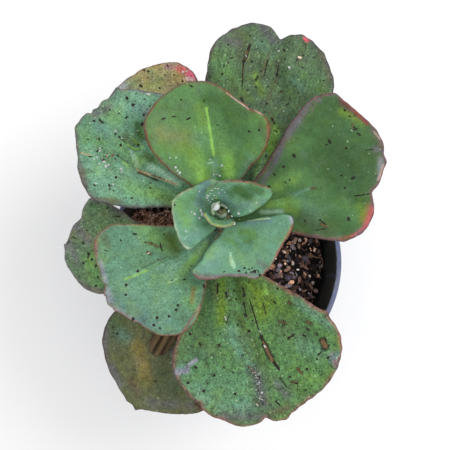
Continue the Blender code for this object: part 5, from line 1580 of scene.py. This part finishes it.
draw = np.random.default_rng(31)
crumb_spots = [on_leaf(number, x, y)[0] + (0, 0, CRUMB_LIE) for number, x, y, *_ in CRUMBS]
crumb_spots += [row[:3] for row in TIP_CRUMBS_GLINTS_AND_SHADE]
crumb_sizes = np.array([size * CRUMB_SHAPE for *_, size, _ in CRUMBS + TIP_CRUMBS_GLINTS_AND_SHADE])
# The pale and near-black bits in the heart are painted glints and painted shade.
crumb_glint_and_shade_tones = np.array([linear(colour) for *_, colour in CRUMBS + TIP_CRUMBS_GLINTS_AND_SHADE])
crumbs = shown("crumbs", chips("crumb_glint_and_shade_shapes", crumb_spots, crumb_sizes,
                               turns(draw, len(crumb_spots), CRUMB_TILT), crumb_glint_and_shade_tones, draw),
               bark_chips)
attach(crumbs, "root")

# FLOOR, LIGHT AND CAMERA
# A plain pale floor, an even pale sky, one large soft lamp to the upper right, and a camera
# that looks almost straight down, as the photograph does.
FLOOR_COLOUR = (246, 246, 246)
FLOOR_SHADE = (232, 232, 230)
FLOOR_REACH = 3.0
WHITE = (1.0, 1.0, 1.0, 1.0)
SKY_STRENGTH = 1.0
LAMP_POWER = 4.0
LAMP_SIZE = 0.55
LAMP_PLACE = (0.55, 0.35, 0.95)
TARGET = np.array([0.6, 21.8, 120.0])
CAMERA_DISTANCE = 520.0
CAMERA_RISE = math.radians(88.0)
FOCAL_PIXELS = 879.0
IMAGE_SIDE = 450
SENSOR_WIDTH = 36.0


def stood_at(place, axes):
    """The matrix of an object at a place, with its X, Y and Z along three axes of any length."""
    return Matrix.Translation(place) @ Matrix(unit(np.array(axes)).T.tolist()).to_4x4()


pale_floor, w, shader = finish("pale_floor", {"Roughness": 0.9, "Specular IOR Level": 0.1})
feed(w, shader, w.mixed(w.maths("MULTIPLY", w.noise(w.place(), 0.02, 2.0), 0.1),
                        solid(FLOOR_COLOUR), solid(FLOOR_SHADE)))
ground = bpy.data.meshes.new("ground")
ground.from_pydata([(x * FLOOR_REACH, y * FLOOR_REACH, 0)
                    for x, y in ((-1, -1), (1, -1), (1, 1), (-1, 1))], [], [(0, 1, 2, 3)])
floor = shown("floor", ground, pale_floor)

sky = bpy.data.worlds.new("sky")
sky.use_nodes = True
background = sky.node_tree.nodes["Background"]
background.inputs["Color"].default_value = WHITE
background.inputs["Strength"].default_value = SKY_STRENGTH
bpy.context.scene.world = sky
lamp = bpy.data.lights.new("soft_lamp", "AREA")
lamp.shape, lamp.size, lamp.energy = "DISK", LAMP_SIZE, LAMP_POWER
lamp_stand = placed("soft_lamp", lamp)
lamp_back = np.array(LAMP_PLACE) - TARGET * MM
lamp_side = np.cross((0, 1, 0), lamp_back)
lamp_stand.matrix_world = stood_at(
    LAMP_PLACE, (lamp_side, np.cross(lamp_back, lamp_side), lamp_back))

back = np.array([0.0, -math.cos(CAMERA_RISE), math.sin(CAMERA_RISE)])
up = np.array([0.0, math.sin(CAMERA_RISE), math.cos(CAMERA_RISE)])
lens = bpy.data.cameras.new("camera")
lens.sensor_width = SENSOR_WIDTH
lens.lens = FOCAL_PIXELS / IMAGE_SIDE * SENSOR_WIDTH
camera = placed("camera", lens)
camera.matrix_world = stood_at((TARGET + back * CAMERA_DISTANCE) * MM,
                               ((1.0, 0.0, 0.0), up, back))
bpy.context.scene.camera = camera
bpy.context.scene.view_settings.view_transform = "Standard"
